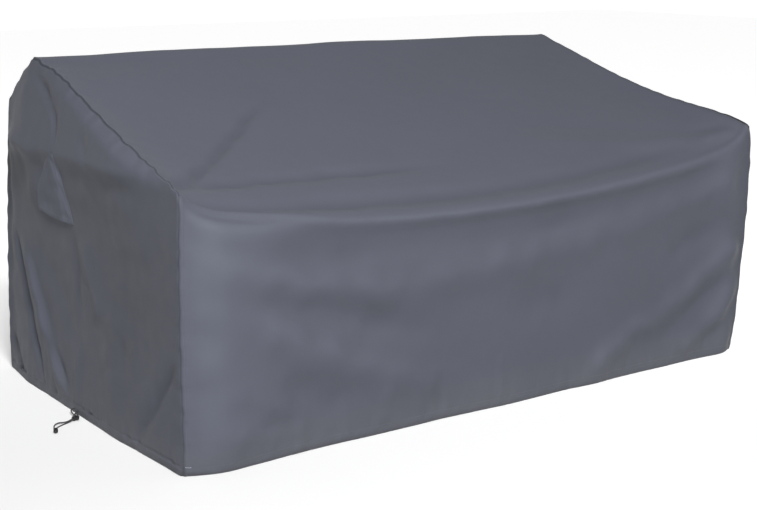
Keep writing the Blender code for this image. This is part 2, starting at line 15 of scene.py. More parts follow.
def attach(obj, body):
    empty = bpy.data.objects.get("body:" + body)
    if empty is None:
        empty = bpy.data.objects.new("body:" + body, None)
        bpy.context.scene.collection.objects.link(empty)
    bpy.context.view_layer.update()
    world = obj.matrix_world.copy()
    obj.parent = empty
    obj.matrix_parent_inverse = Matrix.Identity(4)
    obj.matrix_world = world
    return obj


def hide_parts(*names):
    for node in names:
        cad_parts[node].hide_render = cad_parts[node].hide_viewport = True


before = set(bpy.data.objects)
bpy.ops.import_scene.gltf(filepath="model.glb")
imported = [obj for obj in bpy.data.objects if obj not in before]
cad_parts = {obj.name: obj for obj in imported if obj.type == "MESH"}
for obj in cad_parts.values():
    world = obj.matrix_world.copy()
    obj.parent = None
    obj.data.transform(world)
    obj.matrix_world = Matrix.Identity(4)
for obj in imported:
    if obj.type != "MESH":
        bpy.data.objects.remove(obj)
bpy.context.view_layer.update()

# ----------------------------------------------------------------------------------------------------------
# The view: a pale light-table floor, lit more and more from below towards the back, before a bright backdrop.
# One soft light is high on the left of the front and a weak one on the right, and the camera stands off the
# cover's front left corner.

MM = 0.001
RIDGE_ABOVE_FLOOR = 0.787
RIDGE_BEHIND_MIDDLE = 0.304


def lowered(points):
    """Points measured from the floor under the cover's middle, moved into the row's frame."""
    return np.asarray(points, float) - [0.0, RIDGE_BEHIND_MIDDLE, RIDGE_ABOVE_FLOOR]


def placed(name, data):
    """A new object in the scene for a mesh, a light or a camera."""
    thing = bpy.data.objects.new(name, data)
    bpy.context.scene.collection.objects.link(thing)
    return thing


VIEW_AZIMUTH, VIEW_ELEVATION = -34.65, 12.61
lens = bpy.data.cameras.new("photographers_lens")
lens.sensor_width = 36.0
lens.lens = 66.39
lens.clip_end = 50.0
view = placed("photographers_view", lens)
view.location = lowered([-1.978, -2.842, 1.047])
view.rotation_euler = np.radians([90.0 - VIEW_ELEVATION, 0.0, VIEW_AZIMUTH])
bpy.context.scene.camera = view
bpy.context.scene.view_settings.view_transform = "Standard"


def soft_light(name, place, aim, width, power):
    """A square studio light of the given width, turned to face a point."""
    lamp = bpy.data.lights.new(name, "AREA")
    lamp.size = width
    lamp.energy = power
    holder = placed(name, lamp)
    holder.location = lowered(place)
    to_aim = Vector(lowered(aim)) - holder.location
    holder.rotation_euler = to_aim.to_track_quat("-Z", "Y").to_euler()


soft_light("key_softbox", [-1.62, -3.36, 3.3], [0.0, -0.2, 0.4], 1.0, 273.0)
soft_light("fill_softbox", [3.4, -3.0, 1.6], [0.3, 0.0, 0.4], 2.0, 4.0)


def node_tools(owner):
    """Short names for adding and joining nodes: add(kind, operation, **sockets) and link(from, to)."""
    tree = owner.node_tree

    def add(kind, operation=None, **settings):
        node = tree.nodes.new("ShaderNode" + kind)
        if operation:
            node.operation = operation
        for socket, value in settings.items():
            key = int(socket[1:]) if socket[1:].isdigit() else socket.replace("_", " ")
            if isinstance(value, bpy.types.NodeSocket):
                tree.links.new(value, node.inputs[key])
            else:
                node.inputs[key].default_value = value
        return node

    return add, tree.links.new


def smooth_ramp(add, value, **ends):
    """A value carried smoothly from the range From Min to From Max onto the range To Min to To Max."""
    ramp = add("MapRange", Value=value, **ends)
    ramp.interpolation_type = "SMOOTHSTEP"
    return ramp.outputs["Result"]


VIEW_AHEAD = (np.sin(np.radians(-VIEW_AZIMUTH)), np.cos(np.radians(VIEW_AZIMUTH)), 0.0)
ROOM_LIGHT_ABOVE = 0.29
ROOM_LIGHT_BELOW = 0.68
ROOM_LIGHT_TURNS = 0.35
BACKDROP_LIGHT = 0.60
BACKDROP_FROM, BACKDROP_TO = 0.84, 0.95
surround = bpy.data.worlds.new("white_surround")
surround.use_nodes = True
add, link = node_tools(surround)
facing = add("TexCoord").outputs["Generated"]
ahead = add("VectorMath", "DOT_PRODUCT", _0=facing, _1=VIEW_AHEAD).outputs["Value"]
upward = add("SeparateXYZ", Vector=facing).outputs["Z"]
room = {"To_Min": ROOM_LIGHT_BELOW, "To_Max": ROOM_LIGHT_ABOVE}
both = add(
    "Math",
    _0=smooth_ramp(add, ahead, From_Min=BACKDROP_FROM, From_Max=BACKDROP_TO, To_Max=BACKDROP_LIGHT),
    _1=smooth_ramp(add, upward, From_Min=-ROOM_LIGHT_TURNS, From_Max=ROOM_LIGHT_TURNS, **room),
)
sky = surround.node_tree.nodes["Background"]
link(both.outputs["Value"], sky.inputs["Strength"])
sky.inputs["Color"].default_value = (1.0, 1.0, 1.0, 1.0)
bpy.context.scene.world = surround

FLOOR_REACH = 14.0
FLOOR_GREY = 0.69
FLOOR_GLOW_FROM = -1.9
FLOOR_GLOW_TO = 1.5
FLOOR_GLOW = 0.74
floor_mesh = bpy.data.meshes.new("studio_floor")
floor_corners = [[-1, -1, 0], [1, -1, 0], [1, 1, 0], [-1, 1, 0]]
floor_mesh.from_pydata(lowered(np.array(floor_corners) * FLOOR_REACH).tolist(), [], [(0, 1, 2, 3)])
floor_paint = bpy.data.materials.new("pale_floor")
floor_paint.use_nodes = True
add, link = node_tools(floor_paint)
floor_shader = floor_paint.node_tree.nodes["Principled BSDF"]
floor_shader.inputs["Base Color"].default_value = (FLOOR_GREY, FLOOR_GREY, FLOOR_GREY, 1.0)
floor_shader.inputs["Roughness"].default_value = 0.9
floor_shader.inputs["Emission Color"].default_value = (1.0, 1.0, 1.0, 1.0)
floor_place = add("TexCoord").outputs["Object"]
behind = add("VectorMath", "DOT_PRODUCT", _0=floor_place, _1=VIEW_AHEAD).outputs["Value"]
lit_from_below = smooth_ramp(add, behind, From_Min=FLOOR_GLOW_FROM, From_Max=FLOOR_GLOW_TO, To_Max=FLOOR_GLOW)
link(lit_from_below, floor_shader.inputs["Emission Strength"])
floor_mesh.materials.append(floor_paint)
floor = placed("studio_floor", floor_mesh)
floor.visible_diffuse = False

# ----------------------------------------------------------------------------------------------------------
# The drawcord: a round braided cord of black polyester, about 3 mm thick. It runs in the hem all round the
# cover and comes out of it as two strands at the left end, through the cord lock and into the cord end.

CORD_RADIUS = 0.0014
BRAID_STEP = 0.00045
BRAID_AROUND = 24
BRAID_STRANDS = 6
BRAID_TURN = 0.0046
BRAID_RELIEF = 0.10


def smooth_through(heights, at):
    """A Catmull-Rom curve through heights at the whole numbers, read at the given places."""
    heights = np.asarray(heights, float)
    slopes = np.gradient(heights)
    low = np.clip(np.floor(at).astype(int), 0, len(heights) - 2)
    t = at - low
    rise = heights[low + 1] - heights[low]
    bend = (slopes[low] - rise) * (1.0 - t) - (slopes[low + 1] - rise) * t
    return heights[low] + rise * t + t * (1.0 - t) * bend


def run_along(points):
    """How far each point of a line lies along it."""
    return np.concatenate([[0.0], np.cumsum(np.linalg.norm(np.diff(points, axis=0), axis=-1))])


def unit(vectors):
    """The vectors along an array's last axis, each divided by its length."""
    return vectors / np.linalg.norm(vectors, axis=-1, keepdims=True)


def turns(count):
    """Angles once round, evenly spaced, without the last."""
    return np.linspace(0.0, 2.0 * np.pi, count, endpoint=False)


def read_line(line, run, places):
    """The points of a line, whose runs are given, at other places along it."""
    return np.stack([np.interp(places, run, line[:, axis]) for axis in range(3)], axis=-1)


def smooth_route(route, step):
    """Points a step apart, measured along the smooth curve through a route's points."""
    route = np.asarray(route, float)
    at = np.linspace(0, len(route) - 1, 40 * len(route))
    fine = np.stack([smooth_through(route[:, axis], at) for axis in range(3)], axis=1)
    run = run_along(fine)
    count = max(8, int(round(run[-1] / step)))
    even = np.linspace(0.0, run[-1], count + 1)
    return read_line(fine, run, even), even


def mesh_piece(name, points, faces, uv, material, marks=None):
    """A smooth piece of any faces, riding on the root.

    uv is each point's place in metres on the flat cloth, and marks are numbers that the material reads."""
    mesh = bpy.data.meshes.new(name)
    mesh.from_pydata(lowered(points).reshape(-1, 3).tolist(), [], faces)
    if uv is not None:
        corner_of = np.empty(len(mesh.loops), dtype=np.int32)
        mesh.loops.foreach_get("vertex_index", corner_of)
        layer = mesh.uv_layers.new(name="cut")
        layer.data.foreach_set("uv", uv.reshape(-1, 2)[corner_of].astype(np.float32).ravel())
    for mark, values in (marks or {}).items():
        layer = mesh.attributes.new(mark, "FLOAT", "POINT")
        layer.data.foreach_set("value", np.broadcast_to(values, points.shape[:2]).astype(np.float32).ravel())
    mesh.shade_smooth()
    mesh.materials.append(material)
    piece = placed(name, mesh)
    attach(piece, "root")
    return piece


def grid_numbers(points):
    """The numbers of a grid's points, in rows and columns."""
    return np.arange(points[..., 0].size).reshape(points.shape[:2])


def grid_quads(number):
    """The four-sided faces that join a grid of point numbers to their neighbours."""
    corners = [number[:-1, :-1], number[:-1, 1:], number[1:, 1:], number[1:, :-1]]
    return np.stack(corners, axis=-1).reshape(-1, 4).tolist()


def grid_piece(name, points, uv=None, ring=False, capped=False, material=None, marks=None):
    """A piece whose faces join a grid of points, rows by columns, to their neighbours.

    Its faces look along (next column - this one) x (next row - this one). A ring's last column is joined to
    its first, and capped closes the first and last rings with one face each."""
    number = grid_numbers(points)
    ends = [number[0, ::-1].tolist(), number[-1].tolist()] if capped else []
    if ring:
        number = np.concatenate([number, number[:, :1]], axis=1)
    faces = grid_quads(number) + ends
    return mesh_piece(name, points, faces, uv, material, marks)


def new_finish(name, roughness, sheen=0.0, sheen_roughness=0.5):
    """A material with its shader's plain values set, and its shader."""
    material = bpy.data.materials.new(name)
    material.use_nodes = True
    shader = material.node_tree.nodes["Principled BSDF"]
    shader.inputs["Roughness"].default_value = roughness
    shader.inputs["Sheen Weight"].default_value = sheen
    shader.inputs["Sheen Roughness"].default_value = sheen_roughness
    return material, shader


def mark_reader(add):
    """A function that adds a node reading one of the piece's marks, and gives its value."""

    def mark(name):
        node = add("Attribute")
        node.attribute_name = name
        return node.outputs["Fac"]

    return mark


def as_cut(add):
    """The place on the flat cloth or cord, in metres."""
    node = add("UVMap")
    node.uv_map = "cut"
    return node.outputs["UV"]


def braid_finish():
    """Black braided polyester: painted shade between the crossing strands, with a few paler fibres rubbed by
    wear.
    """
    material, shader = new_finish("black_braid", 0.62, sheen=0.25)
    add, link = node_tools(material)
    cut = as_cut(add)
    worn = add("TexNoise", Vector=cut, Scale=900.0, Detail=3.0).outputs["Fac"]
    worn_share = add("MapRange", Value=worn, From_Min=0.45, From_Max=0.75).outputs["Result"]
    strand = mark_reader(add)("strand")
    # Painted shade: the braid is coloured darker between its strands, where they cross
    strand_painted_shade = add("MixRGB", Fac=strand, Color1=(0.004, 0.004, 0.005, 1.0), Color2=(0.018, 0.018, 0.021, 1.0))
    fibre = add("MixRGB", Fac=worn_share, Color1=strand_painted_shade.outputs["Color"], Color2=(0.045, 0.045, 0.05, 1.0))
    link(fibre.outputs["Color"], shader.inputs["Base Color"])
    rough = add("MapRange", Value=worn, To_Min=0.5, To_Max=0.8)
    link(rough.outputs["Result"], shader.inputs["Roughness"])
    fine = add("TexNoise", Vector=cut, Scale=4000.0, Detail=2.0)
    bump = add("Bump", Height=fine.outputs["Fac"], Strength=0.5, Distance=0.0001)
    link(bump.outputs["Normal"], shader.inputs["Normal"])
    return material


BRAID = braid_finish()


def braided_cord(name, route):
    """A braided cord on a route: a tube whose radius rises over two sets of strands that wind opposite ways.

    radius = R (1 + relief * (the higher of cos(n a + w s) and cos(n a - w s) - 0.2)), with a round the cord
    and s along it. It narrows at its two ends."""
    line, run = smooth_route(route, BRAID_STEP)
    ahead = unit(np.gradient(line, axis=0))
    side = unit(np.cross(ahead, [0.0, 0.0, 1.0]))
    over = np.cross(side, ahead)
    turn = turns(BRAID_AROUND)[None, :]
    wind = 2.0 * np.pi * run[:, None] / BRAID_TURN
    height = np.maximum(np.cos(BRAID_STRANDS * turn + wind), np.cos(BRAID_STRANDS * turn - wind))
    radius = CORD_RADIUS * (1.0 + BRAID_RELIEF * (height - 0.2))
    tips = np.minimum(run, run[-1] - run)[:, None]
    radius = radius * np.clip(0.6 + tips / CORD_RADIUS, 0.6, 1.0)
    around = np.cos(turn)[..., None] * side[:, None] + np.sin(turn)[..., None] * over[:, None]
    points = line[:, None] + radius[..., None] * around
    uv = np.stack([turn * CORD_RADIUS + 0 * run[:, None], run[:, None] + 0 * turn], axis=-1)
    strand = {"strand": np.clip(0.5 + 0.5 * height, 0.0, 1.0)[:, ::-1]}
    piece = grid_piece("braided_" + name, points[:, ::-1], uv[:, ::-1], True, True, BRAID, strand)
    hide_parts(name)
    return piece, line, run[-1]


LOCK_CENTRE = np.array([-0.8450, -0.0045, 0.0053])
LOCK_AHEAD = np.array([-0.84855867, -0.52910129, 0.0])
LOCK_HALF = 0.0075
CORD_END_CENTRE = np.array([-0.9115, -0.0565, 0.0049])
CORD_END_AHEAD = np.array([-0.34893736, -0.93714605, 0.0])
CORD_END_HALF = 0.0090
STRAND_SPACING = 0.0040
LEAD_IN = 0.005
SINKS_IN = 0.0006


def level_side(ahead):
    """The level direction to the left of a heading."""
    return np.array([-ahead[1], ahead[0], 0.0])


def beside(ahead, side):
    """How far a strand lies beside the middle of a piece that it goes into."""
    return -level_side(ahead) * side * STRAND_SPACING / 2


into_lock = LOCK_CENTRE - LOCK_AHEAD * (LOCK_HALF - SINKS_IN)
out_of_lock = LOCK_CENTRE + LOCK_AHEAD * (LOCK_HALF - SINKS_IN)
into_end = CORD_END_CENTRE - CORD_END_AHEAD * (CORD_END_HALF - SINKS_IN)

# Each strand's piece, the side of the pair that it runs on, and the points that it bends through
HEM_STRANDS = (
    ("draw_loop_rear", 1, ((-823.5, 45, 11.5), (-834.5, 42, 9.5), (-837.5, 29, 6.4), (-837, 14, 5.5))),
    ("draw_loop_front", -1, ((-823, 27, 11.5), (-832.5, 21, 9), (-832.3, 11, 6.2))),
)
for strand, side, bends in HEM_STRANDS:
    end = into_lock + beside(LOCK_AHEAD, side)
    braided_cord(strand, [*(np.array(bends) * MM), end - LOCK_AHEAD * LEAD_IN, end])

TAIL_STRANDS = (
    ("draw_tail_upper", 1, (
        (-864.5, -10.2, 3.4), (-874.5, -9.8, 2.6), (-885.5, -9.8, 3.6), (-896, -16, 4), (-903.8, -27, 3.8),
    )),
    ("draw_tail_lower", -1, (
        (-863.5, -14.6, 2.8), (-873.5, -18, 1.9), (-883.5, -22.5, 1.8), (-893, -28, 1.9),
        (-899.6, -34.5, 2.6),
    )),
)
tails = []
for strand, side, bends in TAIL_STRANDS:
    start = out_of_lock + beside(LOCK_AHEAD, side)
    end = into_end + beside(CORD_END_AHEAD, side)
    lead_ins = start + LOCK_AHEAD * LEAD_IN, end - CORD_END_AHEAD * LEAD_IN
    route = [start, lead_ins[0], *(np.array(bends) * MM), lead_ins[1], end]
    tails.append((*braided_cord(strand, route), start))

# ----------------------------------------------------------------------------------------------------------
# The cord lock and the cord end: small black mouldings in glass-filled nylon. The lock's sprung button, in
# its side, grips both strands until it is pressed. The cord end is a two-part clip closed over their ends.

NYLON_AROUND = 56
PROFILE_STEPS = 6


def node_maths(add):
    """A function that adds a Math node on up to three values, and gives its result."""

    def maths(operation, *values):
        sockets = {"_" + str(place): value for place, value in enumerate(values)}
        return add("Math", operation, **sockets).outputs["Value"]

    return maths


def nylon_finish():
    """Black moulded nylon: fine spark-eroded grain, with edges and high spots rubbed a little paler."""
    material, shader = new_finish("black_nylon", 0.42)
    shader.inputs["Specular IOR Level"].default_value = 0.45
    add, link = node_tools(material)
    place = add("TexCoord").outputs["Object"]
    grain = add("TexNoise", Vector=place, Scale=2600.0, Detail=4.0).outputs["Fac"]
    smear = add("TexNoise", Vector=place, Scale=420.0, Detail=3.0).outputs["Fac"]
    share = node_maths(add)("MULTIPLY", mark_reader(add)("rubbed"), smear)
    colour = add("MixRGB", Fac=share, Color1=(0.0095, 0.0095, 0.0105, 1.0), Color2=(0.05, 0.05, 0.053, 1.0))
    link(colour.outputs["Color"], shader.inputs["Base Color"])
    rough = add("MapRange", Value=smear, To_Min=0.34, To_Max=0.56)
    link(rough.outputs["Result"], shader.inputs["Roughness"])
    bump = add("Bump", Height=grain, Strength=0.35, Distance=0.00012)
    link(bump.outputs["Normal"], shader.inputs["Normal"])
    return material


NYLON = nylon_finish()


def superellipse(turn, power):
    """How far across and up a squared ring reaches: |cos a| and |sin a| to the power, with their signs."""
    return (np.sign(part) * np.abs(part) ** power for part in (np.cos(turn), np.sin(turn)))


def moulding(name, node, centre, ahead, profile, roundness, ribs=None):
    """A moulding: squared rings along its heading, on a smooth profile of (along, half width, half height).

    Its ribs (first, last, count, depth) pinch shallow grip grooves into it."""
    rows = np.array(profile, float) * MM
    at = np.linspace(0, len(rows) - 1, (len(rows) - 1) * PROFILE_STEPS + 1)
    along, wide, high = (smooth_through(rows[:, column], at) for column in range(3))
    if ribs:
        first, last, count, depth = ribs
        within = np.clip((along - first * MM) / ((last - first) * MM), 0.0, 1.0)
        groove = depth * MM * (0.5 - 0.5 * np.cos(2.0 * np.pi * count * within))
        wide, high = wide - groove, high - groove
    turn = turns(NYLON_AROUND)
    across, upward = superellipse(turn, 2.0 / roundness)
    sideways = level_side(ahead)
    points = centre + along[:, None, None] * ahead + (wide[:, None] * across)[..., None] * sideways
    points = points + (high[:, None] * upward)[..., None] * np.array([0.0, 0.0, 1.0])
    size = wide[:, None] + 0 * turn
    rubbed = np.clip((size - 0.9 * size.max()) / (0.1 * size.max()), 0.0, 1.0) ** 2
    rubbed = rubbed * np.abs(np.cos(2.0 * turn)) ** 0.5
    piece = grid_piece(name, points, None, True, True, NYLON, {"rubbed": rubbed})
    if node:
        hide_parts(node)
    return piece


def port_rim(name, centre, ahead, radius, thickness):
    """A rounded rim round a hole: a ring of small circles, radius from its middle."""
    turn, small = turns(28)[:, None], turns(10)[None, :]
    sideways = level_side(ahead)
    out = np.cos(turn)[..., None] * sideways + np.sin(turn)[..., None] * np.array([0.0, 0.0, 1.0])
    points = centre + (radius + thickness * np.cos(small))[..., None] * out
    points = points + (thickness * np.sin(small))[..., None] * ahead
    joined = np.concatenate([points, points[:1]], axis=0)
    piece = grid_piece(name, joined, None, True, False, NYLON, {"rubbed": 0.6 + 0 * small})


LOCK_PROFILE = (
    (-7.5, 3.6, 3.1), (-7.4, 4.2, 3.7), (-6.9, 4.8, 4.4), (-5.6, 5.1, 4.9), (-3.0, 5.2, 5.0),
    (3.0, 5.2, 5.0), (5.6, 5.1, 4.9), (6.9, 4.8, 4.4), (7.4, 4.2, 3.7), (7.5, 3.6, 3.1),
)
BUTTON_PROFILE = (
    (-2.2, 3.2, 3.2), (-1.6, 3.3, 3.3), (0.2, 3.3, 3.3), (1.2, 3.2, 3.2), (1.8, 2.8, 2.8), (2.05, 1.9, 1.9),
    (2.0, 0.6, 0.6),
)
CORD_END_PROFILE = (
    (-9.0, 3.0, 2.4), (-8.9, 3.5, 2.9), (-8.2, 4.2, 3.6), (-6.0, 4.8, 4.2), (-3.0, 5.05, 4.6),
    (0.5, 5.1, 4.7), (4.0, 4.8, 4.4), (7.0, 3.9, 3.5), (8.6, 2.8, 2.5), (9.2, 1.4, 1.3), (9.25, 0.5, 0.5),
)
# Each moulding's grip grooves: from and to along it, how many, and how deep
LOCK_RIBS = (-3.6, 3.6, 4, 0.35)
CORD_END_RIBS = (-5.5, 3.5, 5, 0.28)
BUTTON_AHEAD = level_side(LOCK_AHEAD)
BUTTON_CENTRE = LOCK_CENTRE + BUTTON_AHEAD * 0.0074
COLLAR_CENTRE = BUTTON_CENTRE - BUTTON_AHEAD * 0.0021
COLLAR_RADIUS, COLLAR_THICKNESS = 0.0036, 0.0005
PORT_RADIUS, PORT_THICKNESS = 0.00165, 0.00022
moulding("cord_lock_body", "cord_lock", LOCK_CENTRE, LOCK_AHEAD, LOCK_PROFILE, 2.8, ribs=LOCK_RIBS)
moulding("cord_lock_button", "lock_button", BUTTON_CENTRE, BUTTON_AHEAD, BUTTON_PROFILE, 2.0)
port_rim("cord_lock_button_collar", COLLAR_CENTRE, BUTTON_AHEAD, COLLAR_RADIUS, COLLAR_THICKNESS)
cord_end = moulding(
    "cord_end_clip", "cord_end", CORD_END_CENTRE, CORD_END_AHEAD, CORD_END_PROFILE, 2.3, ribs=CORD_END_RIBS
)
PORTS = (
    ("cord_lock_rear_port_", LOCK_CENTRE - LOCK_AHEAD * LOCK_HALF, LOCK_AHEAD),
    ("cord_lock_front_port_", LOCK_CENTRE + LOCK_AHEAD * LOCK_HALF, LOCK_AHEAD),
    ("cord_end_port_", CORD_END_CENTRE - CORD_END_AHEAD * CORD_END_HALF, CORD_END_AHEAD),
)
for side, word in ((1, "upper"), (-1, "lower")):
    for name, middle, ahead in PORTS:
        port_rim(name + word, middle + beside(ahead, side), ahead, PORT_RADIUS, PORT_THICKNESS)
for piece, line, length, start in tails:
    lowered(start)
    lowered(line)

# ----------------------------------------------------------------------------------------------------------
# The main panel: one length of coated polyester cloth, 1.6 m wide and 2.2 m long, from the front hem up the
# front, over the arms and the back and down to the rear hem. It is a rectangle, sewn to both end panels.

SECTION_COLUMNS = (
    "place",
    "left_out", "left_back", "left_up",
    "mid_back", "mid_up",
    "right_out", "right_back", "right_up",
    "pinch",
)
SECTIONS = (
    ("front hem",      3,  27,   0,   7,   0,   6,  26,   0, 0.50),
    ("hem stitching",  5,  18,  22,   5,  22,   8,  23,  22, 0.50),
    ("toe",            7,  10,  95,   7,  95,  18,  20,  95, 0.50),
    ("shin",           8,   9, 220,   8, 220,  28,  20, 220, 0.50),
    ("knee",           8,   7, 335,  10, 325,  35,  18, 335, 0.50),
    ("thigh",          6,   6, 450,  13, 415,  38,  18, 450, 0.45),
    ("under the roll", 1,   9, 545,  15, 462,  36,  18, 550, 0.45),
    ("roll",          -3,  18, 576,  22, 481,  33,  26, 588, 0.45),
    ("over the roll", -3,  42, 589,  52, 490,  30,  52, 604, 0.38),
    ("arm front",     -7, 122, 609, 122, 512,  22, 120, 621, 0.30),
    ("arm middle",   -11, 312, 662, 300, 580,   9, 305, 650, 0.28),
    ("arm rear",     -15, 482, 713, 460, 650,   0, 478, 692, 0.28),
    ("back foot",    -15, 622, 760, 612, 717,  -3, 642, 741, 0.28),
    ("ridge front",  -14, 712, 777, 716, 764,  -9, 730, 768, 0.30),
    ("ridge",        -15, 768, 785, 779, 789, -17, 782, 782, 0.35),
    ("rear slope",   -18, 852, 744, 862, 757, -14, 858, 745, 0.35),
    ("rear edge",    -15, 934, 676, 938, 694, -10, 936, 678, 0.35),
    ("back top",     -10, 950, 605, 953, 618,  -4, 950, 610, 0.35),
    ("back middle",    3, 952, 400, 950, 415,   4, 951, 405, 0.40),
    ("back low",      12, 953, 190, 950, 190,   8, 952, 190, 0.40),
    ("rear stitching", 17, 949,  22, 946,  22,   6, 948,  22, 0.40),
    ("rear hem",      17, 942,   0, 943,   0,   4, 943,   0, 0.40),
)
# The section numbers of the roll over the arms' fronts and of the rear edge, and between which a seam slopes
ROLL, REAR_EDGE = 7, 16
SLOPE_STARTS, SLOPE_ENDS = (7.1, 7.8), (15.4, 15.9)
END_X = 0.800
FRONT_Y = -0.475
PINCH_REACH = 0.045
CLOTH_THICKNESS = 0.0008
OUTWARD = {"left": -1.0, "right": 1.0}


def table(rows, names):
    """The rows of a table as one array for each named column, in metres where the column holds lengths."""
    columns = dict(zip(names, zip(*rows)))
    unscaled = ("place", "face", "pinch", "lean")
    return {
        name: np.array(values) if name in unscaled else np.array(values, float) * MM
        for name, values in columns.items()
    }


def smooth_step(value, start, end):
    """0 up to start, 1 from end on, and an S-shaped rise between."""
    t = np.clip((value - start) / (end - start), 0.0, 1.0)
    return t * t * (3.0 - 2.0 * t)


def bell(value, half_width):
    """1 at nothing, falling off evenly on both sides as exp of minus (value / half width) squared."""
    return np.exp(-((value / half_width) ** 2))


def spread(total, usual, close, reach, spots):
    """Places along a length: usual apart, but close apart near each spot, easing in over the reach."""
    fine = np.linspace(0.0, total, 6001)
    nearest = np.abs(fine[:, None] - np.array(spots)).min(axis=1)
    gap = close + (usual - close) * smooth_step(nearest, 0.35 * reach, reach)
    count = np.concatenate([[0.0], np.cumsum(0.5 * (1 / gap[1:] + 1 / gap[:-1]) * np.diff(fine))])
    return np.interp(np.linspace(0.0, count[-1], int(count[-1]) + 1), count, fine)


def ripple(run, lengths, seed):
    """Uneven waves along a line, mostly between -1 and 1: cosines of the given lengths at seeded phases."""
    dice = np.random.default_rng(seed)
    waves = [np.cos(2 * np.pi * run / (length * MM) + dice.uniform(0, 2 * np.pi)) for length in lengths]
    return sum(waves) / np.sqrt(len(lengths))


def drift(across, along, length, seed):
    """Uneven waves over a sheet, mostly between -1 and 1: eight cosines of about a length, seeded."""
    dice = np.random.default_rng(seed)
    total = 0.0 * across
    for heading, stretch, phase in dice.uniform([0, 0.7, 0], [np.pi, 1.5, 2 * np.pi], (8, 3)):
        way = across * np.cos(heading) + along * np.sin(heading)
        total = total + np.cos(2 * np.pi * way / (length * MM * stretch) + phase)
    return total / np.sqrt(8.0)


def unevenness(across, along, *waves):
    """The sum of height * drift over waves of (height, length, seed), in millimetres."""
    return sum(height * drift(across, along, length, seed) for height, length, seed in waves)


sections = table(SECTIONS, SECTION_COLUMNS)
section_number = np.arange(len(SECTIONS))
fine_at = np.linspace(0, len(SECTIONS) - 1, 4201)


def seam_line(side, at):
    """The points of the left or right seam at the given section numbers, before its thread pulls it."""
    out, back, up = (smooth_through(sections[side + part], at) for part in ("_out", "_back", "_up"))
    return np.stack([OUTWARD[side] * (END_X + out), FRONT_Y + back, up], axis=-1)


# A tuft's side, section number, breadth in sections, and how far it stands out and up
SEAM_TUFTS = (
    ("left", 14, 0.16, 5.0, 4.0), ("left", 16, 0.14, 4.0, 4.0), ("left", 7, 0.10, 1.5, 2.0),
    ("right", 14, 0.16, 3.0, 3.0), ("right", 16, 0.14, 3.0, 3.0), ("right", 7, 0.16, 1.5, 2.0),
)
# How many millimetres the puckers reach out and up, on the slope and on the upright parts of a seam
SLOPE_PUCKER, UPRIGHT_PUCKER, UPRIGHT_LIFT = 1.3, 0.8, 1.0
SLOPE_SHARE = {"left": 1.5, "right": 0.5}
SEAM_DIP = 0.0034
DIP_REACH = 0.0042
PULL_REACH = 0.022


def up_slope(at):
    """1 at the section numbers where a seam runs up the slope, 0 elsewhere."""
    return smooth_step(at, *SLOPE_STARTS) * (1 - smooth_step(at, *SLOPE_ENDS))


def up_face(at):
    """1 at the section numbers where a seam runs up the front or the back, 0 near corners and hems."""
    front = smooth_step(at, 0.8, 1.6) * (1 - smooth_step(at, 6.2, 6.8))
    return (front + smooth_step(at, 16.4, 17.2)) * (1 - smooth_step(at, 19.4, 20.2))


def seam_pull(side, at):
    """How far the seam's thread moves the cloth at the given section numbers: puckers, strongest up the
    slope, and tufts at the corners, where the seam allowances stand out."""
    run = np.interp(at, fine_at, run_along(seam_line(side, fine_at)))
    seed = 3 if side == "left" else 4
    upright = up_face(at)
    slope = up_slope(at) * SLOPE_SHARE[side]
    out = (SLOPE_PUCKER * slope + UPRIGHT_PUCKER * upright) * ripple(run, (41, 58, 93), seed)
    lift = SLOPE_PUCKER * slope * ripple(run, (39, 57, 88), seed + 10)
    lift = lift + UPRIGHT_LIFT * upright * ripple(run, (64, 110), seed + 20)
    for tuft_side, centre, width, tuft_out, tuft_up in SEAM_TUFTS:
        if tuft_side == side:
            out = out + tuft_out * bell(at - centre, width)
            lift = lift + tuft_up * bell(at - centre, width)
    flow = unit(np.gradient(seam_line(side, at)[:, 1:], axis=0))
    outward = np.stack([-flow[:, 1], flow[:, 0]], axis=1)
    return np.column_stack([OUTWARD[side] * out, lift[:, None] * outward]) * MM


def seam_dip(side, at):
    """How far the stitched seam line lies below both panels: inwards, halfway between their two faces."""
    flow = unit(np.gradient(seam_line(side, at)[:, 1:], axis=0))
    inward = np.column_stack([np.full(len(at), -OUTWARD[side]), flow[:, 1], -flow[:, 0]])
    return SEAM_DIP * (1.0 + 0.6 * up_slope(at))[:, None] * inward / np.sqrt(2.0)


def bend_through(start, middle, end, count=60):
    """Points on the parabola that passes through a start, a middle and an end."""
    t = np.linspace(0.0, 1.0, count)[:, None]
    control = 2.0 * np.asarray(middle) - 0.5 * (np.asarray(start) + np.asarray(end))
    return (1 - t) ** 2 * np.asarray(start) + 2 * t * (1 - t) * control + t**2 * np.asarray(end)


# A fold fades out over this share of its length, down to the floor share of its height at its two ends. It is
# worked out as far as its reach in half widths, and its line and height waver by these shares.
FOLD_TAPER = 0.24
FOLD_TAPER_FLOOR = 0.12
FOLD_REACH = 3.2
FOLD_LINE_WAVER, FOLD_HEIGHT_WAVER = 0.14, 0.12


